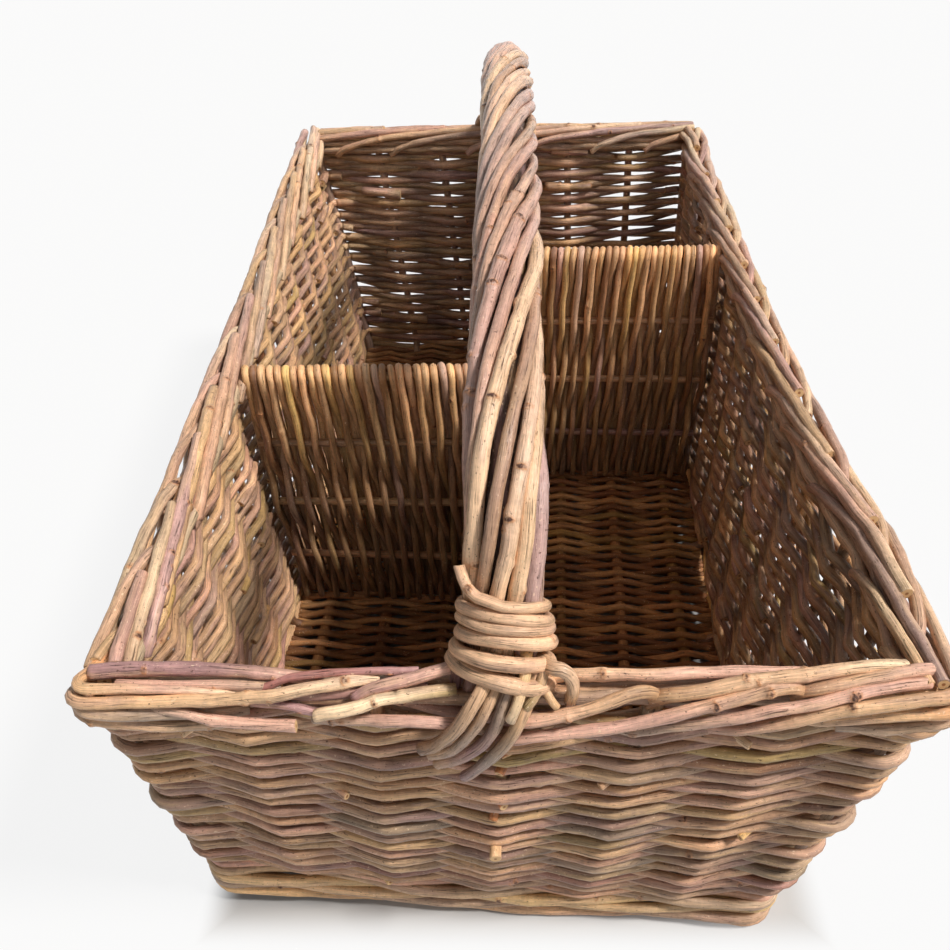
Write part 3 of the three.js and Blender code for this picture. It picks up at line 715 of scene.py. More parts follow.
def foot_wale():
    """Thicker rods over two places and behind one, which close the foot and stand proud of it"""
    bundle = Bundle(12)
    for row in range(WALE_ROWS):
        rng = rng_for("foot_wale", row)
        share = row / (WALE_ROWS - 1)
        level = WALE_RADIUS + share * (FOOT_TOP - 2 * WALE_RADIUS + 1)
        start = rng.uniform(0, PLACES)
        place = places_between(start, start + PLACES + 0.4, 7)
        run = (place - place[0]) / (place[-1] - place[0])
        swing = 1.2 + 1.8 * share
        out = 4.6 - 2.6 * share + swing * np.cos(FULL_TURN * (place + row - 0.5) / 3)
        out = out + 1.5 * near_corner(place, 0.4)
        height = level + share * (0.8 * uneven(place, level, "foot_rows") + 0.5 * drift(rng, place, 5.0))
        height = height + row_climb(place, 0.0)
        radius = WALE_RADIUS * (1.08 - 0.16 * run) + 0.12 * drift(rng, place, 2.0)
        height = np.maximum(height, radius * 1.2 + 0.5)
        route = settled(wall_line(place, height, out))
        bundle.rod(route, radius, barks_of(rng, "foot", 5), rng, knots=0.01, level=UP)
    bundle.piece("foot_wale_rods", "foot_wale", "foot_wale")


# Cut ends that stick out of the front wall: place across, height, the way each points, its
# radius and its bark. Each starts behind the wall's face and stands out of it a little.
FRONT_STUBS = (
    (-0.7, 163.5, (0.3, -1, -0.5), 2.3, "rust"), (-1.4, 151, (-0.4, -1, -0.3), 1.9, "rust"),
    (0.2, 126, (0.5, -1, -0.2), 2.1, "rust"), (-2.1, 114.7, (-0.2, -1, -0.6), 1.8, "rust"),
    (-25.7, 20, (0.6, -1, 0.2), 2.2, "yellow"), (-27, 8, (0.5, -1, 0.0), 2.0, "yellow"),
    (-47.6, 33, (0.8, -1, 0.4), 1.8, "yellow"), (-141, 187, (-0.4, -1, -0.2), 2.2, "cream"),
    (-116, 172, (-1, -1, 0.1), 1.7, "cream"), (-62, 128, (1, -0.8, 0.2), 1.6, "tan"),
    (38, 141, (-1, -0.8, -0.2), 1.7, "tan"), (84, 168, (1, -0.9, 0.1), 1.7, "cream"),
    (101, 96, (-1, -0.9, 0.2), 1.6, "yellow"), (-92, 62, (-1, -0.9, 0), 1.6, "tan"),
)
STUB_BACK = 9
STUB_PROUD = 2.4


def front_stubs():
    bundle = Bundle(10)
    for k, (x, z, way, radius, name) in enumerate(FRONT_STUBS):
        rng = rng_for("front_stubs", k)
        way = unit(np.array(way, float))
        half_width, half_length = half_sizes(z, 2.0)
        face = np.array([x, -half_length - belly(z, x / half_width, True), z])
        route = np.linspace(face - STUB_BACK * way, face + STUB_PROUD * way, 8)
        bundle.rod(settled(route), radius, named_barks(rng, name, 0.9), rng, knots=0.03)
    bundle.piece("front_stub_rods", "side_weave")


def stake_places():
    """Each stake's node and place: they are numbered towards the right and the back"""
    for side, start, count, _, _, is_short in WALL_SIDES:
        order = range(count, 0, -1) if side in ("back", "left") else range(1, count + 1)
        taken = [start + k for k in order if not (is_short and k == (count + 1) // 2)]
        for number, place in enumerate(taken, 1):
            yield f"{side}_stake_{number}", place


# A stake from its bent tail in the base to the border: height, and how far out it is
STAKE_LINE = np.array([
    (BASE_MIDDLE, -12.5), (BASE_MIDDLE, -6), (BASE_MIDDLE + 2, -2.2), (BASE_MIDDLE + 6, 0),
    (BASE_MIDDLE + 14, 0), (60, 0), (100, 0), (140, 0), (BORDER_BOTTOM + 4, 0),
])


def stakes():
    """Upright rods of the walls and the thicker ones in their corners"""
    for k, (name, place) in enumerate(stake_places()):
        rng = rng_for("stakes", k)
        route = wall_line(np.full(len(STAKE_LINE), float(place)), *STAKE_LINE.T)
        route = flowing(settled(route), 6.0)
        radius = STAKE_RADIUS + 0.12 * drift(rng, np.arange(len(route)), 9.0)
        lone_rod(name, "stakes", 8, route, radius, bark_of(rng, "stake"), rng, knots=0.01)
    heights = np.linspace(3.5, BORDER_BOTTOM, 30)
    for k, corner in enumerate(("front_left", "front_right", "back_right", "back_left")):
        rng = rng_for("corner_posts", k)
        route = settled(wall_line(np.full(30, float(CORNERS[k])), heights, np.zeros(30)))
        radius = CORNER_POST_RADIUS + 0.1 * drift(rng, heights, 40.0)
        bark = bark_of(rng, "stake")
        lone_rod(f"{corner}_corner_post", "stakes", 10, route, radius, bark, rng, knots=0.01)


def base():
    """Seven lengthwise sticks, and weavers in and out across them"""
    low, high = node_box("base_weave")
    spacing = node_box("base_stick_2")[0][0] - node_box("base_stick_1")[0][0]
    rows = int((high[1] - low[1]) / BASE_ROW_PITCH)
    reach = high[0] + BASE_OVERREACH
    x = np.linspace(-reach, reach, 60)
    bundle = Bundle(8)
    for row in range(-1, rows + 1):
        rng = rng_for("base_weave", row)
        y = low[1] + (row + 0.5) * (high[1] - low[1]) / rows
        bulge = BASE_BULGE + 0.35 * drift(rng, x, 120.0)
        height = BASE_MIDDLE + bulge * zigzag(x / spacing + row)
        sideways = y + 0.9 * uneven(x / 12 + 3, y, "base_rows") + 0.5 * drift(rng, x, 90.0)
        radius = rng.uniform(1.85, 2.15) + 0.1 * drift(rng, x, 60.0)
        route = settled(np.stack([x, sideways, height], axis=1))
        bundle.rod(route, radius, bark_of(rng, "base"), rng, level=AHEAD)
    bundle.piece("base_weave_rods", "base", "base_weave")
    for k in range(BASE_STICKS):
        name = f"base_stick_{k + 1}"
        low, high = node_box(name)
        rng = rng_for("base_sticks", k)
        y = np.linspace(low[1], high[1], 80)
        x = (low[0] + high[0]) / 2 + 0.5 * drift(rng, y, 300.0)
        route = settled(np.stack([x, y, np.full_like(y, BASE_MIDDLE)], axis=1))
        radius = BASE_STICK_RADIUS + 0.15 * drift(rng, y, 150.0)
        lone_rod(name, "base", 10, route, radius, bark_of(rng, "base"), rng, knots=0.008)


# Where a divider's weaver lies at the top stick and at each stick below it: in front of it, or
# behind it, for the end that comes up on the near side and the one that goes down on the far
# side. Neighbours take turns. Then the painted shade and light along its way up and down, its bark
# darker low in the basket and lighter at the top, and how far a cross divider's weavers come in for each
# millimetre down.
DIVIDER_TURNS = (
    ((1, -1, 1.1, -1, 0.8), (-1, -0.7, -1, -0.7, -0.8)),
    ((1, 1.15, -1, 1.1, -0.8), (-1, -1, -0.7, -1, -0.8)),
)
DIVIDER_PAINTED_SHADE_AND_LIGHT = np.array([0.32, 0.75, 1.5, 0.6, 0.3])
DIVIDER_LEAN = 0.06


def crossing(phase, turns):
    """A weaver's place across a divider between its turns in front of the sticks and behind"""
    turns = np.array(turns, float)
    last = np.minimum(phase.astype(int), len(turns) - 2)
    share = 0.5 - 0.5 * np.cos(math.pi * (phase - last))
    return turns[last] * (1 - share) + turns[last + 1] * share


def divider(name, along, start, rim_reach, place):
    """Upright weavers looped over the top stick and woven over the sticks below it"""
    stick_low, stick_high = node_box(f"{name}_stick")
    top = (stick_low[2] + stick_high[2]) / 2
    stick = (stick_high[2] - stick_low[2]) / 2
    across = ACROSS if along[1] else AHEAD
    # The weavers spread with the wall's slope, away from the middle or from the fixed inner end
    fixed = max(start, 0)

    def reach_at(z):
        """How far the divider reaches at a height: to the wall's inner face"""
        half_width, half_length = half_sizes(z, DIVIDER_INSET)
        return np.minimum(half_width if along[0] else half_length, rim_reach)

    def lay(u, v, z):
        """From distance along, across and height to points of the basket"""
        spread = fixed + (u - fixed) / (reach_at(top) - fixed) * (reach_at(z) - fixed)
        return settled(spread[:, None] * along + v[:, None] * across + z[:, None] * UP + place)

    def level_stick(bundle, z, reach, points, rng):
        u = np.linspace(-reach if start < 0 else start, reach, points)
        route = settled(u[:, None] * along + z * UP + place)
        bundle.rod(route, stick, bark_of(rng, "divider"), rng, knots=0.01)

    bundle = Bundle(8)
    count = int((rim_reach - start) / DIVIDER_PITCH)
    pitch = (rim_reach - start) / count
    z_up = np.linspace(DIVIDER_BOTTOM, top, 41)
    over = np.linspace(0, math.pi, 9)[1:-1]
    phase = (top - z_up) / DIVIDER_STICK_SPACING
    fan = np.clip((top - z_up) / 60, 0, 1)
    for strand in range(count):
        rng = rng_for(name, strand)
        middle = start + (strand + 0.5) * pitch
        radius = rng.uniform(1.88, 2.15)
        bulge = stick + radius + rng.uniform(-0.3, 0.1)
        near_v, far_v = (bulge * crossing(phase, turns) for turns in DIVIDER_TURNS[strand % 2])
        sway = 0.9 * uneven((middle + z_up) / 20, z_up, "divider_sway")
        shift = sway + fan * (0.7 * drift(rng, z_up, 110.0))
        if start > 0:
            share = math.sin(math.pi * (middle - start) / (rim_reach - start))
            shift = shift - DIVIDER_LEAN * share * (top - z_up)
        near_u = middle + shift + rng.uniform(-0.5, 0.5)
        far_u = middle + 0.5 * pitch + shift
        u = np.concatenate([near_u, near_u[-1] + (far_u[-1] - near_u[-1]) * over / math.pi, far_u[::-1]])
        v = np.concatenate([near_v, bulge * np.cos(over), far_v[::-1]])
        z = np.concatenate([z_up, top + (stick + radius) * np.sin(over), z_up[::-1]])
        # Painted shade low in the basket and painted light over the top stick
        bark = barks_of(rng, "divider", 5) * DIVIDER_PAINTED_SHADE_AND_LIGHT[:, None]
        bark = bark.mean(axis=0) * 0.3 + bark * 0.7
        share = np.clip((z - DIVIDER_BOTTOM) / (top - DIVIDER_BOTTOM), 0, 1)
        radius = radius * (0.95 + 0.05 * share)
        bundle.rod(lay(u, -v, z), radius, bark, rng, level=along, knots=0.003)
    for k in range(DIVIDER_STICKS - 1):
        z = top - (k + 1) * DIVIDER_STICK_SPACING
        level_stick(bundle, z, reach_at(z), 60, rng_for(name, LOWER_STICK_DRAWS + k))
    bundle.piece(f"{name}_weave", "dividers", name)
    bundle = Bundle(10)
    level_stick(bundle, top, rim_reach, 80, rng_for(name, TOP_STICK_DRAWS))
    bundle.piece(f"{name}_top_stick", "dividers", f"{name}_stick")


def dividers():
    border_width = node_box("front_border")[1][1] + RIM_HALF_LENGTH
    long_reach = RIM_HALF_LENGTH - border_width
    divider("center_divider", AHEAD, -long_reach, long_reach, np.zeros(3))
    for name, way in (("left_divider", -1), ("right_divider", 1)):
        low, high = node_box(name)
        place = (low[1] + high[1]) / 2 * AHEAD
        divider(name, way * ACROSS, CROSS_DIVIDER_START, RIM_HALF_WIDTH - border_width, place)


# Rods of the front border: across, in from the outer face and height along each, then the
# radius at its two ends and its barks
FRONT_BORDER_RODS = (
    ([(-146.6, 9, 200), (-132, 9.6, 201), (-115, 9.4, 201.5), (-99, 9.2, 201), (-86, 8.6, 200),
      (-76, 8.3, 198.5), (-66, 8, 196)], (2.75, 2.1), "purple purple pink"),
    ([(-137, 6, 197.5), (-120, 5.2, 198), (-102, 4.8, 198), (-90, 5, 197.5), (-80, 6, 195.5)],
     (1.7, 1.9), "pink pink grey"),
    ([(-144, 24, 195), (-147, 12, 198), (-149, 5, 200.5), (-145.5, 1.4, 201.5), (-136, 1.2, 201.8),
      (-119, 1.2, 200.8), (-105, 2, 198.6), (-94, 4, 195)], (2.4, 1.2), "rust straw pink cream"),
    ([(-147, 20, 191), (-150, 9, 194), (-151.5, 2, 196.5), (-148, -1.5, 197.5), (-140, -2, 197.6),
      (-130, -1, 197), (-116, -1, 197.4), (-101, -1, 198), (-89, 0, 198), (-80, 0.5, 198.8),
      (-72, 2, 199.5), (-62.5, 4, 199.5), (-55, 6, 199), (-47, 8.5, 197)],
     (2.4, 2.2), "tan straw tan cream"),
    ([(-92, 4, 194), (-84, 5, 197.5), (-76.5, 7, 200), (-66, 7.6, 201), (-56, 8.3, 201),
      (-44, 9, 200.5), (-33, 10.6, 199)], (1.5, 1.4), "red red purple"),
    ([(-55, 1.5, 195), (-49, 3, 198), (-40.5, 5, 199.5), (-32, 7, 200.5), (-22, 10, 201)],
     (2.2, 2.3), "purple pink"),
    ([(-67.8, -3, 191.7), (-60.6, -3, 194), (-52, -2, 195.5), (-45, 0, 196.8), (-32, 2, 197.4),
      (-20, 5, 196)], (2.4, 2.3), "cream cream olive"),
    ([(-126, 0, 192), (-114, -2, 192), (-104, -3, 189.5), (-90.5, -3.5, 188.3), (-74.7, -4, 187.3)],
     (1.8, 2.3), "grey pink pink"),
    ([(-70, 1.5, 184), (-57, -1, 186.3), (-49, -2, 187.8), (-39, -3, 188.8), (-29, -3, 187.6),
      (-17, -2, 185)], (2.1, 2.2), "grey pink pink"),
    ([(-90, 1.5, 193.5), (-77, 0.6, 192), (-69, 0.8, 188.6), (-60, 2, 184)], (1.6, 1.5), "purple"),
    ([(-120, 4, 193), (-100, 4, 193), (-80, 4, 193.5), (-62, 5, 194), (-46, 7, 194), (-30, 9, 193)],
     (2.3, 2.2), "brown purple"),
    ([(-128, 9, 193), (-100, 10, 192), (-70, 10, 192), (-40, 10, 193)], (2.4, 2.4), "brown grey"),
    ([(12, 10.5, 195), (21, 9.5, 197.5), (35.6, 8.5, 199), (49, 8, 199.6), (62.5, 9, 199.2),
      (80, 10.5, 197.8), (100, 12, 195.5)], (2.4, 2.0), "tan pink pink"),
    ([(0, -1.5, 186), (8, -3, 189), (15.3, -2.6, 190.8), (29.6, -1, 195.7), (39, 1, 198.6),
      (44.5, 2.5, 197.8), (48.4, 4, 193), (50, 6, 186)], (2.3, 2.5), "pink tan brown"),
    ([(46.5, 6, 186), (47.5, 4, 191.5), (52.4, 2.5, 195.6), (61.4, 2, 198.2), (78.3, 4, 201),
      (95.6, 6, 202), (107.4, 8, 202), (119.6, 9.5, 201.8), (133, 11, 200.5)],
     (2.6, 2.2), "brown tan tan cream"),
    ([(-6, -1, 174), (1, -3, 177.6), (7, -3.5, 180), (20.7, -3.5, 183), (34, -3.5, 186),
      (44.4, -3, 188.4), (58.8, -2, 193), (73.5, 0, 197), (86.5, 2, 199.4), (93.6, 3.5, 198.4),
      (97.5, 5, 194), (98.5, 7, 187)], (2.2, 2.5), "pink pink pink tan brown"),
    ([(95, 7, 187), (95.8, 4.5, 193), (100.4, 3.4, 197), (107, 4, 198.8), (115.5, 5, 200.2),
      (124.7, 6, 201.5), (134.4, 8, 201.3), (140.5, 9.3, 200.4)], (2.6, 2.4), "brown tan pink"),
    ([(36, 3, 176), (44, 0, 178.5), (60, -2, 185.5), (73, -3, 190), (85, -2.5, 193.2),
      (97.3, -1.5, 195.3), (113.4, 1, 198.5), (126.3, 3, 199.6), (139, 5, 199.4)],
     (1.9, 2.2), "grey pink pink"),
    ([(68, 3, 176), (78, 0, 179), (90, -2, 185.8), (106.6, -2.5, 192.5), (119.4, -2, 196),
      (134, -1.5, 198.6), (143, -1, 199.6), (149.5, 2.5, 199.4), (150.5, 10, 197), (149, 20, 194)],
     (2.2, 2.6), "pink tan straw rust"),
    ([(95, 4, 182), (108, 0, 185), (122, -1, 188.5), (136, -1.5, 191), (146.5, -1.5, 192.5),
      (151, 2.5, 193), (151, 12, 192)], (2.2, 2.5), "tan straw rust"),
    ([(112, 3, 177), (124, 0, 179.5), (137, -1, 182.5), (147, -0.5, 185), (150.5, 4, 186),
      (150, 14, 186)], (2.0, 2.4), "grey tan"),
    ([(-96, 3, 180), (-112, 0, 181.5), (-128, -1, 184), (-140, -2, 187), (-148.5, -0.5, 189),
      (-151, 4, 190), (-150, 14, 189)], (2.0, 2.6), "grey tan brown"),
    ([(-92, 3, 187), (-108, 0, 189), (-124, -1.5, 191), (-138, -2.5, 192.5), (-147, -1.5, 193),
      (-151, 4, 193), (-150, 14, 191)], (2.2, 2.6), "grey grey tan"),
    ([(10, 7, 192), (30, 8, 191), (60, 9, 192), (90, 10, 194), (120, 11, 193)],
     (2.4, 2.4), "brown grey"),
    ([(60, 4, 191), (80, 6, 194), (100, 9, 196), (125, 11, 196)], (2.2, 2.2), "purple pink"),
    ([(-142, 8, 188), (-70, 8, 188), (0, 8, 188), (70, 8, 188), (142, 8, 188)],
     (2.8, 2.8), "brown brown"),
    ([(-142, 4, 191), (-70, 5, 191), (0, 5, 191), (70, 5, 191), (142, 4, 191)],
     (2.6, 2.6), "brown grey"),
    ([(-138, 12, 189), (-70, 12, 190), (0, 12, 190), (70, 12, 190), (138, 12, 189)],
     (2.6, 2.6), "brown grey"),
    ([(104, 6, 193), (122, 5, 194), (138, 5, 194.5), (144, 9, 194)], (2.4, 2.4), "tan straw"),
)


def front_route(points):
    """A rod's route over the front border, from points across, in from the outer face and up"""
    x, inward, z = np.array(points, float).T
    return flowing(np.stack([x, -RIM_HALF_LENGTH + inward, z], axis=1), 2.0)


def front_border():
    bundle = Bundle(12)
    for k, (points, (first, last), names) in enumerate(FRONT_BORDER_RODS):
        rng = rng_for("front_border", k)
        route = front_route(points)
        radius = first + (last - first) * np.linspace(0, 1, len(route))
        bundle.rod(route, radius, named_barks(rng, names), rng, knots=0.032, level=UP)
    bundle.piece("front_border_rods", "border", "front_border")


# The rods that a border's rope has at each stake: how many places each reaches back, its radius
# at both ends and how far past the stake it ends, then how far in from the outer face and how
# high it is at shares of its way. The first leaves the inner edge and ends cut off on top, the
# second shows outside and tucks in under it, and the third lies lower down outside.
ROPE_RODS = (
    (2.8, (2.5, 2.5), 5.0, (
        (0.0, 12.8, 184), (0.07, 14.2, 190), (0.25, 13.8, 196), (0.6, 11, 199.6), (1.0, 7.4, 200.9),
    )),
    (2.7, (2.2, 2.4), 24.0, (
        (0.0, 7, 187), (0.15, 2.6, 192), (0.4, 0.8, 196.8), (0.75, 1.6, 199), (0.92, 4.4, 198),
        (1.0, 8, 195),
    )),
    (1.6, (2.2, 2.3), 0.0, ((0.0, 4, 184), (0.5, 1.5, 188.5), (1.0, 5, 191.5))),
)
# They are cut off at this much from the first corner and from the last, unless too few of their
# points are left
ROPE_FROM = 12.5
ROPE_TO = 3
FEWEST_POINTS = 8
ROPE_TINT = 0.82
# Straight rods inside the rope: in from the outer face, and height
CORE_RODS = ((5.5, 189.5), (9.5, 191.5), (12.2, 187.5), (8.0, 196.0))
CORE_RADIUS = 2.6
CORE_TINT = 0.7


def rope_border(name, count, along, outward, is_short):
    """A side of the border: at each stake a rod leaves the inside and runs along the rim to a
    cut end on top, over rods that come round the outside"""
    half_along, half_deep = RIM_HALF_LENGTH, RIM_HALF_WIDTH
    if is_short:
        half_along, half_deep = half_deep, half_along
    pitch = 2 * (half_along - WALL_THICKNESS / 2) / (count + 1)
    bundle = Bundle(12)
    for stake_number in range(count + 4):
        stake = -half_along + WALL_THICKNESS / 2 + stake_number * pitch
        for kind, (length, (first, last), past, shape) in enumerate(ROPE_RODS):
            rng = rng_for(name, 10 * (stake_number + 3) + kind)
            end = stake + past + rng.uniform(-3.5, 3.5)
            start = end - (length + rng.uniform(-0.15, 0.15)) * pitch
            nudge = rng.uniform(-0.8, 0.8, 2) * np.array([1, 0.5])
            route = flowing([
                (start + share * (end - start)) * along
                + (half_deep - (inward + nudge[0])) * outward + (z + nudge[1]) * UP
                for share, inward, z in shape
            ], 2.0)
            e = route @ along
            route = route[(e > -half_along + ROPE_FROM) & (e < half_along - ROPE_TO)]
            if len(route) < FEWEST_POINTS:
                continue
            run = np.linspace(0, 1, len(route))
            thick = rng.uniform(0.9, 1.1)
            radius = thick * (first + (last - first) * run) + 0.12 * drift(rng, run, 0.5)
            bark = barks_of(rng, "border", 3)
            bark = ROPE_TINT * (0.4 * bark.mean(axis=0) + 0.6 * bark)
            bundle.rod(settled(route), radius, bark, rng, knots=0.02, level=UP, slant=0.35)
    e = np.linspace(8 - half_along, half_along - 8, 90)
    for k, (inward, z) in enumerate(CORE_RODS):
        rng = rng_for(name, CORE_DRAWS + k)
        route = e[:, None] * along + (half_deep - inward) * outward + z * UP
        bundle.rod(settled(route), CORE_RADIUS, CORE_TINT * bark_of(rng, "border"), rng, wander=0.7)
    bundle.piece(f"{name}_rods", "border", name)


def borders():
    """The front border, and the other three, whose rods run the other way round the basket"""
    front_border()
    for side, _, count, way, outward, is_short in reversed(WALL_SIDES[1:]):
        rope_border(f"{side}_border", count, -way, outward, is_short)


# Middle line of the handle: a straight leaning foot, one curve to the top and back down. It
# sways a little from side to side, given at shares of its length.
HANDLE_SWAY = ((0, 0.13, 0.3, 0.48, 0.62, 1), (-3.4, -2.8, -1.5, 1.2, 1.4, 0))
HANDLE_FOOT = np.array([0.0, -RIM_HALF_LENGTH + HANDLE_FOOT_INSET, RIM_HEIGHT])
LEAN = np.array([0.0, math.sin(HANDLE_LEAN), math.cos(HANDLE_LEAN)])


def handle_line():
    shoulder = HANDLE_FOOT + HANDLE_STRAIGHT * LEAN
    pulls = (
        shoulder, shoulder + HANDLE_SHOULDER * LEAN,
        np.array([0, -HANDLE_FLAT, HANDLE_TOP]), np.array([0, 0, HANDLE_TOP]),
    )
    t = np.linspace(0, 1, 80)[:, None]
    curve = sum(math.comb(3, k) * (1 - t) ** (3 - k) * t ** k * pull for k, pull in enumerate(pulls))
    straight = np.linspace(0, 1, 20)[:-1, None] * (shoulder - HANDLE_FOOT) + HANDLE_FOOT
    half = np.vstack([straight, curve])
    line = np.vstack([half, half[::-1][1:] * np.array([1, -1, 1])])
    s = lengths_along(line)
    even = np.arange(0, s[-1], 2.4)
    line = read_off(even, s, line)
    line[:, 0] += np.interp(even / s[-1], *HANDLE_SWAY)
    return line


def handle():
    """The bow with its thin ends in the walls, and the rods wound round it"""
    line = handle_line()
    s = lengths_along(line)
    heights = np.linspace(node_box("handle_bow")[0][2], BORDER_BOTTOM, BOW_END_POINTS)
    end_y = RIM_HALF_LENGTH - WALL_THICKNESS / 2 - WALL_SLOPE * (RIM_HEIGHT - heights)
    front = np.stack([np.zeros(BOW_END_POINTS), -end_y, heights], axis=1)
    back = (front * np.array([1, -1, 1]))[::-1]
    thin = np.full(BOW_END_POINTS, BOW_END_RADIUS)
    middle = BOW_END_RADIUS + (BOW_RADIUS - BOW_END_RADIUS) * off_ends(s, 40)
    lone_rod(
        "handle_bow", "handle_bow", 14, np.vstack([settled(front), line, settled(back)]),
        np.concatenate([thin, middle, thin]), linear(BARKS["brown"]), rng_for("handle_bow"),
        level=ACROSS,
    )
    other = np.cross(unit(np.gradient(line, axis=0)), ACROSS)
    turn_length = WRAP_TURN_LENGTH + WRAP_TURN_CHANGE * np.cos(FULL_TURN * s / s[-1])
    turn = np.concatenate([[0], np.cumsum((FULL_TURN / turn_length)[1:] * np.diff(s))])
    narrow = 1 - 0.13 * (1 - off_ends(s, 42) ** 1.5)
    bundle = Bundle(12)
    for k in range(WRAP_RODS):
        rng = rng_for("handle_wrap", k)
        angle = turn + FULL_TURN * (k + 0.2 * drift(rng, s, 260.0)) / WRAP_RODS
        stout = rng.uniform(0.88, 1.08)
        reach = (BOW_RADIUS + stout * WRAP_ROD_RADIUS) * narrow + 0.6 * drift(rng, s, 150.0)
        out = np.cos(angle)[:, None] * ACROSS + np.sin(angle)[:, None] * other
        run = s / s[-1] if k % 2 else 1 - s / s[-1]
        taper = (1.06 - 0.16 * run) * (0.3 + 0.7 * narrow)
        radius = WRAP_SLIMNESS * stout * WRAP_ROD_RADIUS * taper + 0.14 * drift(rng, s, 70.0)
        bark = barks_of(rng, "handle", 7)
        bark = 0.4 * bark + 0.6 * bark[0]
        path = line + reach[:, None] * out
        bundle.rod(path, radius, bark, rng, knots=0.034, level=ACROSS, wander=0.12)
    bundle.piece("handle_wrap_rods", "handle_wrap", "handle_wrap")


# Ends of the wrap's rods that come out under the front binding and lie down over the border:
# across, in from the outer face, height, then the radius and barks
SPREAD_RODS = (
    ([(-5, 9, 214), (-7.5, 5.5, 208), (-12.1, -3, 202.5), (-16.2, -5.8, 196.3), (-21.3, -6.2, 186.8),
      (-27.2, -5.5, 178.2), (-33, -3.5, 172.5)], 2.6, "straw tan tan brown"),
    ([(-2, 9, 212), (-4.4, 5, 206), (-8.6, -3.5, 199.4), (-13.1, -6, 190), (-18.8, -6, 178.9),
      (-24.4, -5, 172.2), (-30, -3, 167.4)], 2.0, "olive tan grey tan"),
    ([(2, 9, 210), (0, 5, 203.5), (-4.3, -3.5, 196), (-8.1, -6, 185.5), (-14.1, -6, 175.7),
      (-21.1, -4.5, 166.9), (-28, -2.5, 161)], 2.3, "tan grey purple tan"),
    ([(8, 9, 206), (7, 5, 201.5), (3, -3, 194), (-1.6, -6, 183.9), (-7.9, -6, 171.3),
      (-13, -4.8, 161.7), (-18.2, -3, 153.5)], 2.4, "tan straw grey purple"),
    ([(4, 9, 212), (3.4, 4, 208), (2.4, 0, 204.5), (0.6, -4.5, 200), (-1.7, -7, 194.6)],
     2.1, "yellow cream"),
    ([(10, 8, 206), (9, 4, 203), (6, -1, 198.5), (3.5, -3, 196)], 2.0, "tan olive"),
    ([(-17, 12, 206), (-19, 12, 199), (-20.4, 11, 190), (-20.6, 8, 182)], 2.6, "purple purple"),
    ([(-11, 10, 206), (-14, 9, 199), (-15.6, 7, 191), (-16, 4, 183)], 2.5, "purple pink"),
    ([(8, 12, 204), (13.2, 5, 207.6), (16.4, 4, 207.4), (18.8, 3, 203.4), (19.4, 2, 198),
      (19, 3, 191)], 2.5, "tan peach straw"),
    ([(9, 5, 200), (12, 0, 197), (14.4, -1.5, 194.2)], 1.5, "straw straw"),
)


def at_foot(points, end):
    """Points of the front foot, or the same turned half round for the back foot"""
    return points if end < 0 else points * np.array([-1, -1, 1])


def handle_foot(name, end):
    bundle = Bundle(12)
    for k, (points, radius, names) in enumerate(SPREAD_RODS):
        rng = rng_for("spread_rods", k)
        route = front_route(points)
        sizes = radius * (1.05 - 0.15 * np.linspace(0, 1, len(route)))
        bundle.rod(at_foot(route, end), sizes, named_barks(rng, names), rng, knots=0.012)
    bundle.piece(f"{name}_spread_rods", "handle_wrap")


# A binding's rod from its lowest turn up, at each number of turns: height along the leaning
# foot, how much higher its left side is than its right, its sideways place, its radius, half
# the turn's width and how much higher its front is. It ends cut off, standing up at the left.
BINDING_TURNS = np.array([
    (0.0, -5.0, 3.0, -4.4, 2.8, 16.2, 2.95), (0.25, -2.9, 3.0, -4.4, 2.9, 16.2, 2.95),
    (1.25, 2.65, 1.0, -4.2, 2.8, 16.2, 4.4), (2.25, 9.35, 0.3, -3.0, 2.5, 15.5, 5.3),
    (3.25, 14.4, 1.3, -3.0, 2.2, 15.3, 4.7), (4.25, 18.4, 2.3, -3.0, 2.1, 15.0, 4.5),
    (5.25, 22.4, 1.0, -3.6, 2.05, 14.6, 4.4), (5.34, 24.6, 0.6, -3.7, 2.0, 15.2, 4.8),
    (5.4, 29.0, 0.3, -3.6, 1.95, 15.8, 5.2), (5.44, 37.0, 0.0, -3.4, 1.9, 16.2, 5.4),
])
BINDING_HALF_DEPTH = 16.8
BINDING_POINTS_PER_TURN = 44


def binding(name, end):
    """A rod wound round the leaning foot, its turns higher in front and lower at the right"""
    rng = rng_for("bindings")
    turns = BINDING_TURNS[:, 0]
    share = np.arange(turns[0], turns[-1], 1 / BINDING_POINTS_PER_TURN)
    height, tilt, sideways, radius, wide, rise = read_off(share, turns, BINDING_TURNS[:, 1:]).T
    facing = FULL_TURN * share
    front = np.cross(ACROSS, LEAN)
    height = height + rise * np.sin(facing) - tilt * np.cos(facing) + 0.35 * drift(rng, share, 0.9)
    wide = wide + 0.3 * drift(rng, share, 1.3)
    deep = BINDING_HALF_DEPTH - 1.2 * np.clip(share - 4.6, 0, 1) + 0.35 * drift(rng, share, 1.1)
    route = HANDLE_FOOT + sideways[:, None] * ACROSS + height[:, None] * LEAN + (
        (wide * np.cos(facing))[:, None] * ACROSS + (deep * np.sin(facing))[:, None] * front
    )
    bark = named_barks(rng, 14 * "peach ", 0.84)
    radius = radius + 0.12 * drift(rng, share, 0.4)
    route = at_foot(route, end)
    lone_rod(name, "binding", 12, route, radius, bark, rng, knots=0.028, level=UP, slant=0.5)


def peg(name, end):
    """A straight peg through the wall, with a cut end that stands out"""
    low, high = node_box(name)
    z = (low[2] + high[2]) / 2
    proud = end * belly(z, 0.0, end < 0)
    y = np.linspace(low[1] + min(proud, 0), high[1] + max(proud, 0), 12)
    route = settled(y[:, None] * AHEAD + z * UP)
    lone_rod(name, "peg", 12, route, PEG_RADIUS, linear(BARKS["straw"]), rng_for("pegs"), slant=0.1)


# Share of white in the open floor, and over how many metres out from the foot it rises to that.
# Then how brightly the white surroundings light the basket.
FLOOR_WHITE = 0.88
FLOOR_FADE = (0.0, 0.02)
WORLD_LEVEL = 0.15


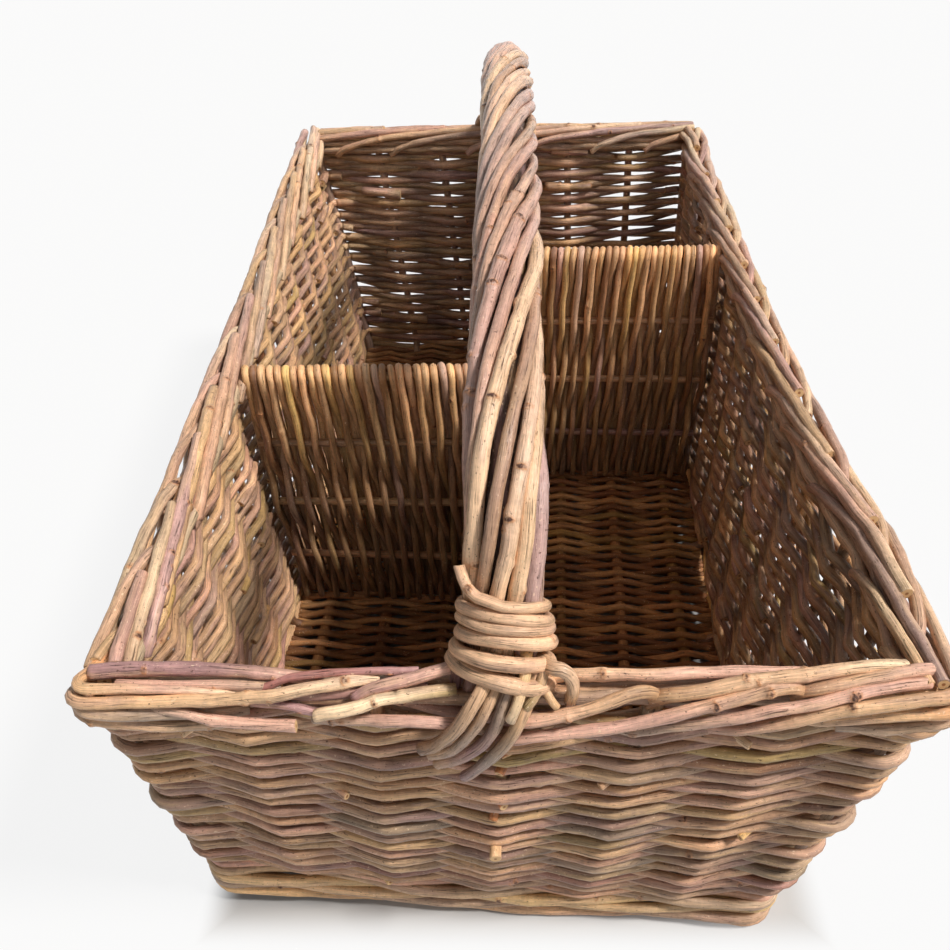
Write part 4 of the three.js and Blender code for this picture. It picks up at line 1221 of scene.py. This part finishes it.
def stage():
    """A white floor that keeps the basket's shadow, darkest beneath it and paler all round it"""
    bpy.ops.mesh.primitive_plane_add(size=16, location=(0, 0, 0))
    floor = bpy.context.active_object
    floor.name = "floor"
    recipe = new_finish("white_floor")
    place = recipe.node("ShaderNodeTexCoord", {}, {}, 3)
    beyond = []
    for k, half in enumerate(half_sizes(0, 0)):
        away = recipe.node("ShaderNodeSeparateXYZ", {}, {0: place}, k)
        beyond.append(recipe.math("ABSOLUTE", away) - half * MM)
    open_floor = recipe.math("MAXIMUM", *beyond)
    share = recipe.background_rays() * (FLOOR_WHITE * open_floor.between(*FLOOR_FADE))
    diffuse = recipe.node("ShaderNodeBsdfDiffuse", {}, {"Color": (0.5, 0.5, 0.5, 1)})
    white = recipe.node("ShaderNodeEmission", {}, {"Color": (1, 1, 1, 1), "Strength": 1.0})
    finish = recipe.finished(recipe.node("ShaderNodeMixShader", {}, {0: share, 1: diffuse, 2: white}))
    floor.data.materials.append(finish)


# Each lamp's name, the way it shines, its strength, its width in degrees and its colour
LAMPS = (
    ("key", (-0.56, 0.12, -0.81), 4.4, 10, (1.0, 0.965, 0.92)),
    ("fill", (-0.2, 0.85, -0.45), 0.45, 40, (0.97, 0.98, 1.0)),
)


def lamps():
    recipe = Recipe(bpy.data.worlds.new("studio"))
    level = WORLD_LEVEL + (1 - WORLD_LEVEL) * recipe.background_rays()
    sky = recipe.node("ShaderNodeBackground", {}, {"Color": (1.0, 1.0, 1.0, 1), "Strength": level})
    bpy.context.scene.world = recipe.finished(sky, "ShaderNodeOutputWorld")
    for name, aim, strength, spread, colour in LAMPS:
        lamp = bpy.data.lights.new(name, "SUN")
        lamp.energy = strength
        lamp.angle = math.radians(spread)
        lamp.color = colour
        holder = bpy.data.objects.new(name, lamp)
        holder.rotation_euler = Vector(aim).to_track_quat("-Z", "Y").to_euler()
        bpy.context.scene.collection.objects.link(holder)


# The photograph's camera: place in millimetres, turn, tilt and roll in degrees, and the
# distance at which a pixel of the 950 pixel wide image is as wide as a millimetre
CAMERA_PLACE = (-4.5, -435.7, 458.3)
CAMERA_ANGLES = (-2.05, 41.33, 1.75)
FOCAL_PIXELS = 921.0
IMAGE_PIXELS = 950.0
SENSOR_WIDTH = 36.0


def camera():
    turn, tilt, roll = (math.radians(angle) for angle in CAMERA_ANGLES)
    look = Vector((
        math.sin(turn) * math.cos(tilt), math.cos(turn) * math.cos(tilt), -math.sin(tilt),
    ))
    level = Vector((math.cos(turn), -math.sin(turn), 0))
    down = look.cross(level)
    right = math.cos(roll) * level + math.sin(roll) * down
    under = math.cos(roll) * down - math.sin(roll) * level
    data = bpy.data.cameras.new("camera")
    data.sensor_width = SENSOR_WIDTH
    data.lens = FOCAL_PIXELS / IMAGE_PIXELS * SENSOR_WIDTH
    data.clip_start = 0.01
    holder = bpy.data.objects.new("camera", data)
    bpy.context.scene.collection.objects.link(holder)
    matrix = Matrix((right, -under, -look)).transposed().to_4x4()
    matrix.translation = Vector(CAMERA_PLACE) * MM
    holder.matrix_world = matrix
    bpy.context.scene.camera = holder


camera()
stage()
lamps()
bpy.context.scene.view_settings.view_transform = "Standard"

side_weave()
foot_wale()
front_stubs()
stakes()
base()
dividers()
borders()
handle()
for name, end in FEET:
    handle_foot(name, end)
for name, end in FEET:
    binding(f"{name}_binding", end)
    peg(f"{name}_peg", end)
